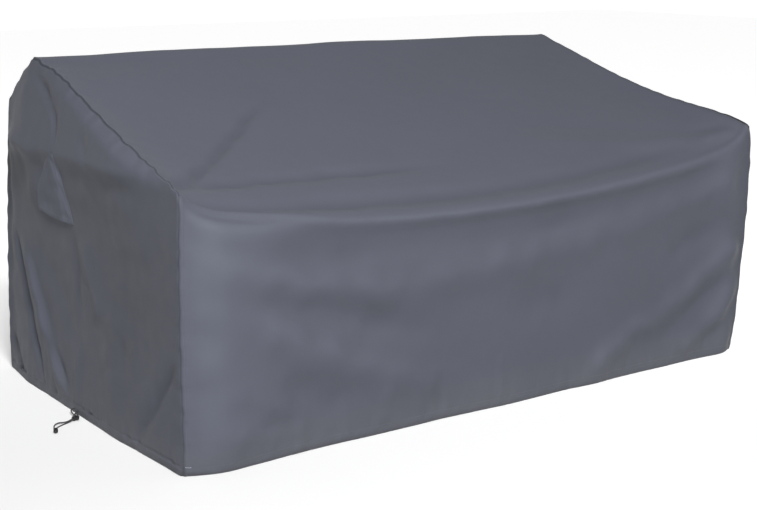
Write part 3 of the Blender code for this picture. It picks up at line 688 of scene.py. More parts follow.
def fold(across, along, start, middle, end, half_width, height, lean, seed, wavering=1.0):
    """A fold's height at each place: a bell curve over the distance to its line, tapered to its two ends.

    Its flanks are half_width (1 + lean) and half_width (1 - lean) wide."""
    line = bend_through(start, middle, end)
    ahead = np.gradient(line, axis=0)
    step = np.linalg.norm(ahead, axis=1)
    ahead /= step[:, None]
    length = step.sum()
    reach = FOLD_REACH * half_width * (1 + abs(lean))
    close = (across > line[:, 0].min() - reach) & (across < line[:, 0].max() + reach)
    close &= (along > line[:, 1].min() - reach) & (along < line[:, 1].max() + reach)
    raised = np.zeros(across.shape)
    if not close.any():
        return raised
    place = np.stack([across[close], along[close]], axis=-1)
    nearest = ((place[:, None] - line) ** 2).sum(axis=-1).argmin(axis=-1)
    offset = place - line[nearest]
    forward = (offset * ahead[nearest]).sum(axis=-1)
    aside = offset[:, 0] * ahead[nearest, 1] - offset[:, 1] * ahead[nearest, 0]
    t = (nearest + forward / step[nearest]) / (len(line) - 1.0)
    past = np.maximum(np.maximum(-t, t - 1.0), 0.0) * length
    aside = aside + FOLD_LINE_WAVER * wavering * half_width * ripple(t * length, (110, 170), seed)
    width = half_width * (1.0 + lean * np.tanh(3.0 * aside / half_width))
    taper = FOLD_TAPER_FLOOR + (1 - FOLD_TAPER_FLOOR) * smooth_step(np.minimum(t, 1 - t), 0.0, FOLD_TAPER)
    waver = 1.0 + FOLD_HEIGHT_WAVER * wavering * ripple(t * length, (90, 140, 230), seed + 50)
    raised[close] = height * taper * waver * np.exp(-((aside / width) ** 2) - (past / half_width) ** 2)
    return raised


def each_fold(rows, names, across, along):
    """Each fold of a table: its number, its line's three points, and its half width, height and lean."""
    folds = table(rows, names)
    for i in range(len(rows)):
        line = [(folds[across + end][i], folds[along + end][i]) for end in "012"]
        yield i, line, [folds[name][i] for name in ("half_width", "height", "lean")]


FOLD_COLUMNS = ("face", "x0", "p0", "x1", "p1", "x2", "p2", "half_width", "height", "lean")
MAIN_FOLDS = (
    ("roll",  -900,   28, -640,    8, -380,  -14,  13,   6,  0.2),
    ("roll",  -610,  -14,  245,  -15, 1100,   10,  13,  11,  0.2),
    ("roll",  -860,   16, -560,   42, -250,   58,  22, -10,  0.0),
    ("roll",  -440,   56,  150,   58,  745,   70,  34, -10,  0.0),
    ("roll",  -560,  104, -255,  106,   50,  100,  24,   4,  0.0),
    ("roll",  -900,  -56,    0,  -76,  740,  -52,  32,  -5,  0.0),
    ("front", -712,  -70, -714,  300, -718,  730,  95,  28,  0.4),
    ("front",  748, -140,  748,  300,  748,  720,  50,  14, -0.2),
    ("front", -800,  452, -506,  358, -230,  318,  38,  11,  0.25),
    ("front", -330,  318,  200,  364,  790,  452,  38,  10,  0.25),
    ("front", -700,  352, -440,  292, -160,  226,  36,  -6,  0.0),
    ("front", -700,  340, -440,  192,  -90,   70,  40,  11,  0.2),
    ("front", -600,  170, -510,  125, -400,   80,  36,  -6,  0.0),
    ("front", -390,  275, -300,  240, -180,  198,  30,  -5,  0.0),
    ("front",   20,  255,  118,  237,  230,  232,  45,  -5,  0.0),
    ("front",  812,  305,  665,  224,  500,  122,  32,  13, -0.2),
    ("front",  565,  130,  400,  108,  262,   -5,  32,  13, -0.2),
    ("front",  800,  232,  640,  140,  480,   40,  24,  -4,  0.0),
    ("front",  805,  200,  700,  100,  560,   18,  27,  11,  0.0),
    ("front",  785,  140,  735,   76,  660,   30,  20,  -4,  0.0),
    ("front",  775,  462,  640,  432,  500,  406,  26,   5,  0.0),
    ("front",  805,  405,  662,  324,  520,  300,  32,  -7,  0.0),
    ("front", -693,   95, -690,   48, -697,    0,  17,   4,  0.0),
    ("front", -539,   80, -541,   38, -536,    0,  16,   4,  0.0),
    ("front", -321,  112, -322,   65, -318,   10,  18,   4,  0.0),
    ("front", -172,  120, -172,   72, -168,   15,  17,  -4,  0.0),
    ("front",    4,  125,    5,   80,    6,    5,  14,   3,  0.0),
    ("front", -665,  150, -610,  128, -550,  112,  24,   4,  0.0),
    ("front", -640,   88, -590,   78, -540,   70,  17,  -4,  0.0),
    ("top",   -860,    0, -575,  277, -300,  540,  13, -11,  0.0),
    ("top",   -760,  108, -430,  184,   20,  204,  20, -10,  0.0),
    ("top",    800,   45,  640,  105,  225,  282,  26,   5,  0.0),
    ("top",    800,   50,  519,  252,  262,  332,  26,  -3,  0.0),
    ("top",    805,   34,  764,   60,  705,   74,  12,   4,  0.0),
    ("top",    805,   72,  765,  100,  715,  120,  13,  -2.5,  0.0),
    ("front",  805,  565,  780,  540,  748,  500,  14,  -4,  0.0),
    ("back",  -640,  640, -520,  380, -470,   -5,  50,  11,  0.2),
    ("back",  -430,  560, -360,  300, -380,   -5,  36,  -7,  0.0),
    ("back",  -150,  600, -120,  300, -160,   -5,  58,  -9,  0.0),
    ("back",    60,  500,   90,  260,   40,   -5,  34,   7,  0.0),
    ("back",   250,  640,  230,  340,  290,   -5,  55,  10, -0.2),
    ("back",   620,  640,  560,  350,  590,   -5,  50,  -9,  0.0),
    ("back",   430,  420,  450,  220,  420,   -5,  30,   6,  0.0),
)
CREST_COLUMNS = ("across", "past_roll")
CREST = (
    (-900, 28), (-720, 16), (-620, 4), (-500, -8), (-380, -15), (240, -15), (506, -7), (660, 0), (800, 5),
)
# How wide the roll's crest line is painted paler: wear and a painted highlight
CREST_WEAR_AND_HIGHLIGHT = 0.009
# The roll's folds and the broad ones waver less
BROAD_FOLD = 0.08
CALM_WAVERING = 0.25
# Over which section numbers each face's folds fade in or out
FRONT_FOLDS_END = (5.8, 6.7)
ROLL_FOLDS_END = (9.0, 10.0)
TOP_FOLDS_START = (7.0, 8.2)
BACK_FOLDS_START = (16.2, 17.5)
# Usual and close spacing, and how far the close spacing reaches from the hems, the roll and the seams
ROW_SPACING = (0.0105, 0.0036, 0.034)
COLUMN_SPACING = (0.0093, 0.0022, 0.020)
HEM_HEIGHT = 0.022
HEM_PUFF = 0.0017
HEM_GROOVE, HEM_GROOVE_WIDTH = 0.0011, 0.0024
HEM_GATHERS, HEM_GATHERS_REACH = 0.0013, 0.028
HEM_MARKS_REACH = 0.020
SEAM_MARKS_REACH = 0.016
# The seam allowance under the cloth: where it begins and ends beside the seam, and how far it lifts the cloth
BAND_START, BAND_END = (0.0022, 0.0040), (0.0081, 0.0095)
BAND_RISE = 0.0008
HEM_FADES_BY_SEAM = (0.0, 0.012)
FOLDS_FADE_BY_SEAM = (0.0, 0.030)
# Fold heights over which ridges are painted paler, partly wear and partly painted light, and depths over
# which hollows get painted shade
WEAR_AND_PAINTED_LIGHT_HEIGHT, MORE_WEAR_AND_PAINTED_LIGHT_HEIGHT = (0.005, 0.014), (0.010, 0.020)
SHADED_DEPTH = (0.003, 0.011)
# How wide the painted shade along each seam is
SEAM_SHADE_WIDTH = 0.0024
DUST_HEIGHT = 0.11
# The hem's turned-in layer, from its raw edge inside the casing down to the fold: height and distance inside
HEM_LAYER_COLUMNS = ("up", "inside")
HEM_LAYER = ((21, 1.3), (18, 3.0), (13, 4.6), (8, 5.2), (4, 4.4), (1.2, 2.4))


def face_normals(points):
    """The outward normals of a grid whose columns and rows run as grid_piece wants them."""
    return unit(np.cross(np.gradient(points, axis=1), np.gradient(points, axis=0)))


def hem_height(from_hem, run, seed):
    """How far a hem stands out of its panel, by the height above its fold: the casing swells over the
    drawcord, its stitching pulls a groove, and small gathers fade out above it."""
    casing = HEM_PUFF * np.sin(np.pi * np.clip(from_hem / HEM_HEIGHT, 0.0, 1.0))
    groove = HEM_GROOVE * bell(from_hem - HEM_HEIGHT, HEM_GROOVE_WIDTH)
    fading = np.exp(-np.clip(from_hem - HEM_HEIGHT, 0.0, None) / HEM_GATHERS_REACH)
    gathers = HEM_GATHERS * fading * smooth_step(from_hem, 0.004, HEM_HEIGHT)
    return casing - groove + gathers * ripple(run, (38, 47, 61), seed)


def turned_in(hem_row, outward):
    """The rows of a hem's inner layer, raw edge first: the fold's points moved inside the panel and up."""
    layer = table(HEM_LAYER, HEM_LAYER_COLUMNS)
    inside = unit(-outward * [1.0, 1.0, 0.0])
    rows = hem_row[None] + inside[None] * layer["inside"][:, None, None]
    rows[..., 2] = hem_row[None, :, 2] + layer["up"][:, None]
    return rows


middle_line = [smooth_through(sections[column], fine_at) for column in ("mid_back", "mid_up")]
middle_run = run_along(np.stack(middle_line, axis=1))
roll_run = np.interp(ROLL, fine_at, middle_run)
row_run = spread(middle_run[-1], *ROW_SPACING, [0.0, roll_run, middle_run[-1]])
row_at = np.interp(row_run, middle_run, fine_at)
column_run = spread(2 * END_X, *COLUMN_SPACING, [0.0, 2 * END_X])
share = column_run / (2 * END_X)
left_edge, right_edge = seam_line("left", row_at), seam_line("right", row_at)
main = left_edge[:, None] * (1 - share)[:, None] + right_edge[:, None] * share[:, None]
from_left, from_right = column_run[None], (2 * END_X - column_run)[None]
from_seam = np.minimum(from_left, from_right)
pinch = smooth_through(sections["pinch"], row_at)[:, None]
sag = pinch * (1 - np.exp(-from_seam / PINCH_REACH)) + (1 - pinch) * 4 * share * (1 - share)
middle_y = FRONT_Y + smooth_through(sections["mid_back"], row_at)
middle_z = smooth_through(sections["mid_up"], row_at)
main[..., 1] += (middle_y - (left_edge + right_edge)[:, 1] / 2)[:, None] * sag
main[..., 2] += (middle_z - (left_edge + right_edge)[:, 2] / 2)[:, None] * sag
normals = face_normals(main)
row = row_at[:, None]
past_roll = (row_run - roll_run)[:, None] + 0 * share
faces = {
    "front": (main[..., 2], 1 - smooth_step(row, *FRONT_FOLDS_END)),
    "roll": (past_roll, 1 - smooth_step(row, *ROLL_FOLDS_END)),
    "top": (main[..., 1] - FRONT_Y, smooth_step(row, *TOP_FOLDS_START) * (row < REAR_EDGE)),
    "back": (main[..., 2], smooth_step(row, *BACK_FOLDS_START)),
}
height = np.zeros(main.shape[:2])
for i, line, shape in each_fold(MAIN_FOLDS, FOLD_COLUMNS, "x", "p"):
    face = MAIN_FOLDS[i][0]
    place, window = faces[face]
    wavering = CALM_WAVERING if face == "roll" or shape[0] > BROAD_FOLD else 1.0
    height += window * fold(main[..., 0], place, *line, *shape, seed=100 + i, wavering=wavering)
main_u, main_v = 0 * row + column_run, row_run[:, None] + 0 * share
from_crest = np.abs(row_run - roll_run)[:, None]
uneven = unevenness(main_u, main_v, (1.8, 330, 21), (0.7, 140, 22), (0.15, 62, 23))
taut = 1 - 0.55 * smooth_step(row, 7.0, 8.5) * (1 - smooth_step(row, 15.5, 17.0))
calm = (0.45 + 0.55 * smooth_step(from_crest, 0.0, 0.08)) * (0.4 + 0.6 * smooth_step(from_seam, 0.04, 0.16))
height += uneven * MM * taut * calm
height *= smooth_step(from_seam, *FOLDS_FADE_BY_SEAM)
from_hem = np.minimum(row_run, row_run[-1] - row_run)[:, None]
# Ridges are painted paler, partly as wear and partly as painted light; hollows get painted shade
worn = smooth_step(height, *WEAR_AND_PAINTED_LIGHT_HEIGHT) + 0.7 * smooth_step(height, *MORE_WEAR_AND_PAINTED_LIGHT_HEIGHT)
shaded = smooth_step(-height, *SHADED_DEPTH)
height += hem_height(from_hem, main_u, 31) * smooth_step(from_seam, *HEM_FADES_BY_SEAM)
height += BAND_RISE * (smooth_step(from_seam, *BAND_START) - smooth_step(from_seam, *BAND_END))
main += normals * height[..., None]
for side, from_side in (("left", from_left), ("right", from_right)):
    main += seam_pull(side, row_at)[:, None] * np.exp(-from_side / PULL_REACH)[..., None]
    main += seam_dip(side, row_at)[:, None] * bell(from_side, DIP_REACH)[..., None]


WEAVE_PITCH = 0.00062


def weave_pattern(add, cut):
    """A plain weave over the flat cloth: sin(2 pi u / pitch) * sin(2 pi v / pitch)."""
    maths = node_maths(add)
    split = add("SeparateXYZ", Vector=cut)
    turned = (maths("MULTIPLY", split.outputs[axis], 2 * np.pi / WEAVE_PITCH) for axis in ("X", "Y"))
    return maths("MULTIPLY", *(maths("SINE", turn) for turn in turned))


def cloth_finish(name):
    """Coated polyester: a fine plain weave under a matt coating, with slow blotches, ridges painted paler by
    wear and painted light, painted shade in troughs and along seams, dust low down, small creases, and short
    pleats beside its seams and hems."""
    material, shader = new_finish(name, 0.62, sheen=0.05, sheen_roughness=0.45)
    shader.inputs["Specular IOR Level"].default_value = 0.28
    add, link = node_tools(material)
    mark, maths = mark_reader(add), node_maths(add)
    place, cut = add("TexCoord").outputs["Object"], as_cut(add)

    def noise(vector, scale, detail, **settings):
        return add("TexNoise", Vector=vector, Scale=scale, Detail=detail, **settings).outputs["Fac"]

    def drawn_out(scale_u, scale_v, detail):
        mapping = add("Mapping", Vector=cut, Scale=(scale_u, scale_v, 1.0))
        return noise(mapping.outputs["Vector"], 1.0, detail)

    def sums(*terms):
        """The sum of terms, each a value or a (value, factor) pair."""
        total = None
        for term in terms:
            term = maths("MULTIPLY", *term) if isinstance(term, tuple) else term
            total = maths("ADD", total, term) if total else term
        return total

    weave = weave_pattern(add, cut)
    blotch = noise(place, 5.5, 4.0, Roughness=0.55)
    speckle = noise(cut, 950.0, 2.0)
    streaks = drawn_out(40.0, 900.0, 3.0)
    creases = noise(place, 26.0, 3.0, Roughness=0.5)
    fine_creases = noise(place, 75.0, 2.0)
    tone = sums(
        maths("MULTIPLY_ADD", blotch, 0.10, 0.95),
        (maths("SUBTRACT", speckle, 0.5), 0.10),
        (maths("SUBTRACT", streaks, 0.5), 0.05),
        (weave, 0.03),
        # Painted light on ridges and other paler places, partly wear, and painted shade in hollows and along
        # the seams
        (mark("worn"), 0.07),
        (mark("shaded"), -0.10),
        (mark("stitched"), -0.42),
    )
    base = add("MixRGB", Fac=1.0, Color1=(0.0748, 0.0800, 0.1030, 1.0), Color2=tone)
    base.blend_type = "MULTIPLY"
    dust = maths("MULTIPLY", mark("low"), maths("MULTIPLY", blotch, 0.22))
    dusty = add("MixRGB", Fac=dust, Color1=base.outputs["Color"], Color2=(0.185, 0.178, 0.168, 1.0))
    link(dusty.outputs["Color"], shader.inputs["Base Color"])
    rough = sums(maths("MULTIPLY_ADD", creases, 0.18, 0.52), (mark("worn"), 0.05), (speckle, 0.06))
    link(rough, shader.inputs["Roughness"])
    relief = sums(
        (weave, 0.022),
        (speckle, 0.03),
        (creases, 0.42),
        (fine_creases, 0.10),
        (maths("MULTIPLY", mark("pleats_u"), drawn_out(62.0, 7.0, 2.0)), 1.7),
        (maths("MULTIPLY", mark("pleats_v"), drawn_out(7.0, 62.0, 2.0)), 2.6),
    )
    bump = add("Bump", Height=relief, Strength=1.0, Distance=MM)
    link(bump.outputs["Normal"], shader.inputs["Normal"])
    return material


CLOTH = cloth_finish("slate_coated_cloth")


def cloth_piece(name, node, points, uv, marks, flat, **facts):
    """A panel of the cover: its outer face as a grid, with the cloth's thickness inwards. It is a sheet."""
    piece = grid_piece(name, points, uv, material=CLOTH, marks=marks)
    thickness = piece.modifiers.new("cloth_thickness", "SOLIDIFY")
    thickness.thickness = CLOTH_THICKNESS
    thickness.offset = -1.0
    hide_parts(node)
    return piece


def carried_on(marks, shape, hem_rows):
    """A panel's marks, carried on over the inner rows of its hems: (before, after) along each of its ways."""
    return {name: np.pad(np.broadcast_to(values, shape), hem_rows, "edge") for name, values in marks.items()}


main_normals = face_normals(main)
low = 1 - smooth_step(main[..., 2], 0.0, DUST_HEIGHT)
crest = table(CREST, CREST_COLUMNS)
from_ridge = past_roll - np.interp(main[..., 0], crest["across"], crest["past_roll"])
right_upright = smooth_step(row, 0.5, 2.0) * (1 - smooth_step(row, 6.6, 7.4))
# Painted light: a band up the left front corner, below the roll, is coloured paler
left_painted_light = 2.4 * bell(from_left - 0.035, 0.055) * (1 - smooth_step(main[..., 2], 0.40, 0.58))
# Painted shade: dark bands up the front beside the right seam, and along every seam, wider on the slope
right_painted_shade = 0.7 * bell(from_right, 0.006) + 0.35 * bell(from_right, 0.034)
seam_shade = bell(from_seam, SEAM_SHADE_WIDTH * (1 + 0.5 * up_slope(row))) * (1 + 0.5 * up_slope(row))
# Paler ridges are wear and painted light; the seams get painted shade, darker beside the right seam over the
# slope
main_marks = {
    "worn": worn + 0.6 * bell(from_ridge, CREST_WEAR_AND_HIGHLIGHT) + left_painted_light,
    "shaded": shaded,
    "stitched": seam_shade + right_painted_shade * right_upright + 0.9 * bell(from_right, 0.009) * up_slope(row),
    "low": low,
    "pleats_u": np.exp(-np.abs(from_hem - HEM_HEIGHT) / HEM_MARKS_REACH) + 0 * low,
    "pleats_v": 0.8 * np.exp(-from_seam / SEAM_MARKS_REACH) + 0 * low,
}
layer_v = table(HEM_LAYER, HEM_LAYER_COLUMNS)["up"]
front_rows = turned_in(main[0], main_normals[1])
back_rows = turned_in(main[-1], main_normals[-2])[::-1]
whole = np.concatenate([front_rows, main, back_rows])
whole_marks = carried_on(main_marks, main.shape[:2], ((len(front_rows), len(back_rows)), (0, 0)))
cut_v = np.concatenate([-layer_v, row_run, row_run[-1] + layer_v[::-1]])
whole_uv = np.stack(np.broadcast_arrays(column_run[None], cut_v[:, None]), axis=-1)
main_flat = (2 * END_X, float(cut_v[-1] - cut_v[0]))
main_cloth = cloth_piece("main_cloth", "main_panel", whole, whole_uv, whole_marks, flat=main_flat)

# ----------------------------------------------------------------------------------------------------------
# The end panels: a five-sided piece of the same cloth at each end, sewn to the main panel up the front
# corner, over the top and down the back. It stands out over the sofa's arm, tucks in below it and flares at
# the hem.

BELLY_COLUMNS = ("up", "out")
BELLY = (
    (0, 13), (100, 8), (200, 2), (300, 0), (400, 3), (470, 9), (530, 20), (592, 37), (612, 32), (700, 15),
    (760, 4), (790, 0),
)
BELLY_RISES_FRONT = (0.04, 0.28)
BELLY_RISES_REAR = (0.0, 0.15)
EDGE_KEEPS_SHAPE = 0.03
END_FOLD_COLUMNS = ("back0", "up0", "back1", "up1", "back2", "up2", "half_width", "height", "lean")
LEFT_FOLDS = (
    (780, 764,  620, 688,  562, 590,  11,  -7,  0.3),
    (792, 748,  772, 680,  738, 604,  34,   4,  0.0),
    ( 90, 556,  450, 550,  930, 562,  20,  -3,  0.0),
    (930, 604,  860, 600,  700, 592,  14,   6,  0.0),
    (706, 610,  712, 520,  722, 420,  48,  10,  0.0),
    (955, 590,  955, 330,  955,  60,  48,  -7,  0.0),
    (896, 396,  806, 204,  672, -20,  13,  -8,  0.0),
    (835, 365,  704, 178,  536,   0,  26,  12, -0.3),
    (672, 148,  612,  98,  548,  26,  12,  -6,  0.0),
    (792, 368,  622, 280,  508, 150,  34,  -4,  0.0),
    (524, 430,  506, 310,  486, 180,  15,  -4,  0.0),
    (495, 420,  418, 310,  388, 232,  32,   8,  0.2),
    (502, 155,  512,  85,  518,   5,  16,   5,  0.4),
    ( 20, 240,  112, 136,  222,   4,  10,  -6,  0.2),
    ( 60, 262,  150, 150,  262,  40,  26,   4,  0.0),
    (240, 216,  312, 165,  390, 122,  20,  -3,  0.0),
    (300, 320,  330, 170,  296,   0,  44,   6,  0.0),
    (955,  96,  885,  52,  815,   6,  15,  -6,  0.0),
    (120, 470,  230, 440,  330, 450,  30,   2,  0.0),
    (150, 600,  210, 570,  300, 545,  16,  -1,  0.0),
    (440, 650,  400, 610,  380, 570,  15,  -4,  0.0),
    (890, 600,  880, 450,  905, 250,  34,   6,  0.0),
)
RIGHT_FOLDS = (
    (880, 420,  760, 220,  700,  -5,  40,  11,  0.2),
    (930, 250,  850, 130,  820,   0,  26,  -8,  0.0),
    (560, 520,  600, 280,  540,  -5,  48, -11,  0.0),
    (430, 420,  450, 200,  420,  -5,  32,   7,  0.2),
    (330, 480,  300, 260,  350,  -5,  46,  10,  0.0),
    (210, 380,  220, 190,  250,   0,  26,  -6,  0.0),
    ( 60, 330,  150, 170,  230,   0,  24, -10,  0.0),
    ( 30, 200,   70,  90,  110,   5,  18,   5,  0.0),
    (720, 755,  650, 680,  560, 600,  22,  -8,  0.3),
    (790, 740,  760, 680,  730, 606,  28,   6,  0.0),
    ( 37, 562,  450, 556,  846, 560,  20,  -4,  0.0),
)
BELLY_ROUNDING = 0.009
END_BACK_SPACING = (0.0088, 0.0024, 0.018)
END_UP_SPACING = (0.0080, 0.0024, 0.018)
END_HEIGHT = 0.68
HEM_TOP = 0.025
ARM_EDGE = 0.60


def end_panel(side):
    """An end panel's outer face, columns from hem to top and rows from front to rear, with its marks.

    It is the patch that blends its four edges, moved out by the belly and the folds. Beside each seam it
    takes the main panel's pull and dip, so that the two panels share one line of stitches."""
    seam_up = sections[side + "_up"]
    front_height = seam_up[ROLL]
    edge = seam_line(side, fine_at)
    top_part = (fine_at >= ROLL) & (fine_at <= REAR_EDGE)
    depth = edge[top_part][-1, 1] - edge[top_part][0, 1]
    v = spread(depth, *END_BACK_SPACING, [0.0, depth]) / depth
    top_at = np.interp(edge[top_part][0, 1] + v * depth, edge[top_part][:, 1], fine_at[top_part])
    top_at[0], top_at[-1] = ROLL, REAR_EDGE
    w = spread(END_HEIGHT, *END_UP_SPACING, [0.0, HEM_TOP, END_HEIGHT]) / END_HEIGHT
    front_at = np.interp(w * front_height, seam_up[: ROLL + 1], section_number[: ROLL + 1])
    down_rear = slice(None, REAR_EDGE - 1, -1)
    rear_at = np.interp(w * seam_up[REAR_EDGE], seam_up[down_rear], section_number[down_rear])
    front, top, rear = (seam_line(side, at) for at in (front_at, top_at, rear_at))
    hem = front[0] * (1 - v)[:, None] + rear[0] * v[:, None]
    v_grid, w_grid = v[:, None, None], w[None, :, None]
    points = front[None] * (1 - v_grid) + rear[None] * v_grid
    points = points + hem[:, None] * (1 - w_grid) + top[:, None] * w_grid
    points = points - (front[0] * (1 - v_grid) + rear[0] * v_grid) * (1 - w_grid)
    points = points - (front[-1] * (1 - v_grid) + rear[-1] * v_grid) * w_grid

    back, up = points[..., 1] - FRONT_Y, points[..., 2].copy()
    belly = table(BELLY, BELLY_COLUMNS)
    fine_up = np.arange(-0.05, 0.85, MM)
    window = np.hanning(int(BELLY_ROUNDING / MM) + 2)
    rounded = np.convolve(np.interp(fine_up, belly["up"], belly["out"]), window / window.sum(), "same")
    inside = np.minimum(v, 1 - v)[:, None] * depth
    rises = smooth_step(v * depth, *BELLY_RISES_FRONT) * smooth_step((1 - v) * depth, *BELLY_RISES_REAR)
    out = np.interp(up, fine_up, rounded) * rises[:, None]
    folds = LEFT_FOLDS if side == "left" else RIGHT_FOLDS
    wave = np.zeros(out.shape)
    for i, line, shape in each_fold(folds, END_FOLD_COLUMNS, "back", "up"):
        wave += fold(back, up, *line, *shape, seed=300 + i)
    seed = 41 if side == "left" else 51
    uneven = unevenness(back, up, (1.3, 280, seed), (0.35, 120, seed + 1))
    uneven = uneven * (1 - 0.5 * smooth_step(up, 0.50, 0.62))
    wave += MM * (uneven + 0.08 * drift(back, up, 60, seed + 2))
    top_height = top[:, 2][:, None]
    below_top = (1 - w)[None] * top_height
    out = (out + wave * smooth_step(inside, 0.0, 0.035)) * smooth_step(below_top, 0.0, EDGE_KEEPS_SHAPE)
    from_edges = np.stack([v[:, None] * depth + 0 * w, (1 - v)[:, None] * depth + 0 * w, below_top])
    from_seam = from_edges.min(axis=0)
    out += hem_height(up, back, seed + 5) * smooth_step(from_seam, *HEM_FADES_BY_SEAM)
    outward = OUTWARD[side]
    points[..., 0] += out * outward
    pulls, dips = (
        [moved(side, front_at)[None], moved(side, rear_at)[None], moved(side, top_at)[:, None]]
        for moved in (seam_pull, seam_dip)
    )
    shares = np.exp(-from_edges / PULL_REACH)[..., None]
    nearest = bell(from_edges, DIP_REACH)[..., None]
    crowd = np.maximum(shares.sum(axis=0), 1.0)
    points += sum(pull * part for pull, part in zip(pulls, shares)) / crowd
    points += sum(dip * part for dip, part in zip(dips, nearest)) / np.maximum(nearest.sum(axis=0), 1.0)
    edges = (0, slice(None)), (-1, slice(None)), (slice(None), -1)
    for edge, line, pull, dip in zip(edges, (front, rear, top), pulls, dips):
        points[edge] = line + pull.reshape(-1, 3) + dip.reshape(-1, 3)
    normals = face_normals(points) * -outward
    facing_front, facing_up = -normals[..., 1], normals[..., 2]
    away = smooth_step(from_seam, 0.0, 0.03)
    below_arm = smooth_step(ARM_EDGE - up, 0.0, 0.03)
    # Painted light: faces turned up, and below the arm those turned to the front, are coloured paler
    painted_light_by_facing = 0.6 * smooth_step(facing_up, 0.0, 0.30)
    painted_light_by_facing = painted_light_by_facing + 1.8 * below_arm * smooth_step(facing_front, 0.05, 0.30)
    # Painted light: the lower front corner is coloured paler
    painted_light_front_corner = 1.8 * bell(from_edges[0], 0.12) * (1 - smooth_step(up, 0.12, 0.36))
    # The arm's edge is coloured paler: wear and a painted highlight
    arm_edge_wear_and_highlight = 0.5 * bell(up - 0.588, 0.010)
    # Painted shade below the arm's edge: all along it, darker beside the rear seam, in a patch by the vent
    # hood and across the middle
    rear_painted_shade = 0.7 * bell(from_edges[1], 0.050)
    rear_painted_shade = rear_painted_shade + 2.6 * smooth_step(back, 0.66, 0.80) * bell(up - 0.52, 0.065)
    painted_shade_below_arm = 0.3 + rear_painted_shade + 0.6 * bell(back - 0.26, 0.17) * bell(up - 0.30, 0.18)
    # Painted shade in the folds' hollows and on faces turned down
    painted_shade_hollows_and_undersides = smooth_step(-wave, *SHADED_DEPTH) + 1.2 * smooth_step(-facing_up, 0.03, 0.30)
    pleats_top = 0.9 * np.exp(-below_top / SEAM_MARKS_REACH)
    pleats_hem = np.exp(-np.abs(up - HEM_HEIGHT) / HEM_MARKS_REACH)
    # Paler ridges are wear and painted light; the seams get painted shade
    marks = {
        "worn": 2.8 * smooth_step(wave, 0.004, 0.013) + arm_edge_wear_and_highlight + painted_light_by_facing * away + painted_light_front_corner,
        "shaded": painted_shade_hollows_and_undersides * away + 1.4 * below_arm * painted_shade_below_arm,
        "stitched": bell(from_seam, SEAM_SHADE_WIDTH) + 0.5 * bell(below_top, 1.5 * SEAM_SHADE_WIDTH),
        "low": 1 - smooth_step(up, 0.0, DUST_HEIGHT),
        "pleats_u": np.maximum(pleats_top, pleats_hem),
        "pleats_v": 0.8 * np.exp(-from_edges[:2].min(axis=0) / SEAM_MARKS_REACH),
    }
    return points, back, marks


def end_cloth(side):
    """One end panel's finished piece, with its turned-in hem, and the points of its outer face."""
    points, back, marks = end_panel(side)
    outward = np.zeros(points[:, 0].shape)
    outward[:, 0] = OUTWARD[side]
    layer = np.moveaxis(turned_in(points[:, 0], outward), 0, 1)
    whole = np.concatenate([layer, points], axis=1)
    steps = np.linalg.norm(np.diff(points, axis=1), axis=-1)
    inner = np.tile(-layer_v, (len(points), 1))
    cut_up = np.hstack([inner, np.zeros((len(points), 1)), np.cumsum(steps, axis=1)])
    hem_rows = ((0, 0), (len(layer_v), 0))
    longer = carried_on({"back": back, **marks}, back.shape, hem_rows)
    uv = np.stack([longer.pop("back"), cut_up], axis=-1)
    if side == "right":
        whole, uv = whole[:, ::-1], uv[:, ::-1]
        longer = {name: values[:, ::-1] for name, values in longer.items()}
    piece = cloth_piece(
        "end_cloth_" + side, "side_panel_" + side, whole, uv, longer,
        flat=(0.95, 0.81), area=0.67, rests_on=[main_cloth.name],
    )
    return piece, points


left_cloth, left_face = end_cloth("left")
right_face = end_cloth("right")[1]

# ----------------------------------------------------------------------------------------------------------
# The vent hood: an arched flap of the same cloth with a stiffened, turned-over lower edge. It is sewn to the
# left panel along its two sides, over a hole, and stands out below so that damp air can leave.

HOOD_FRONT_BACK = 0.512
HOOD_REAR_BACK = 0.706
HOOD_PEAK_BACK = 0.564
HOOD_FOOT_UP = 0.436
HOOD_FOOT_RISE = 0.006
HOOD_PEAK_UP = 0.590
HOOD_FOOT_DIP = 0.004
HOOD_STANDS_OUT = 0.005
HOOD_REAR_BOW = 0.008
HOOD_PEAK_WIDTH = 0.07
HOOD_CLEARANCE = 0.0012
HOOD_CASING = 0.012
HOOD_CASING_RISE = 0.0009
HOOD_GROOVE = 0.0007
HOOD_TURNED_UP = 0.011
HOOD_CREASE_DEPTH = 0.0022
HOOD_CREASE_FROM_FRONT = 0.015
HOOD_UNEVEN = 0.0010
HOOD_STITCH_FROM_SIDE = 0.0060


def face_reader(points):
    """A function that reads how far out the left panel's face lies at a place beside it."""
    tree = BVHTree.FromPolygons(points.reshape(-1, 3).tolist(), grid_quads(grid_numbers(points)))

    def read(y, z):
        return tree.ray_cast(Vector((-2.0, float(y), float(z))), Vector((1.0, 0.0, 0.0)))[0].x

    return np.vectorize(read)


read_left = face_reader(left_face)
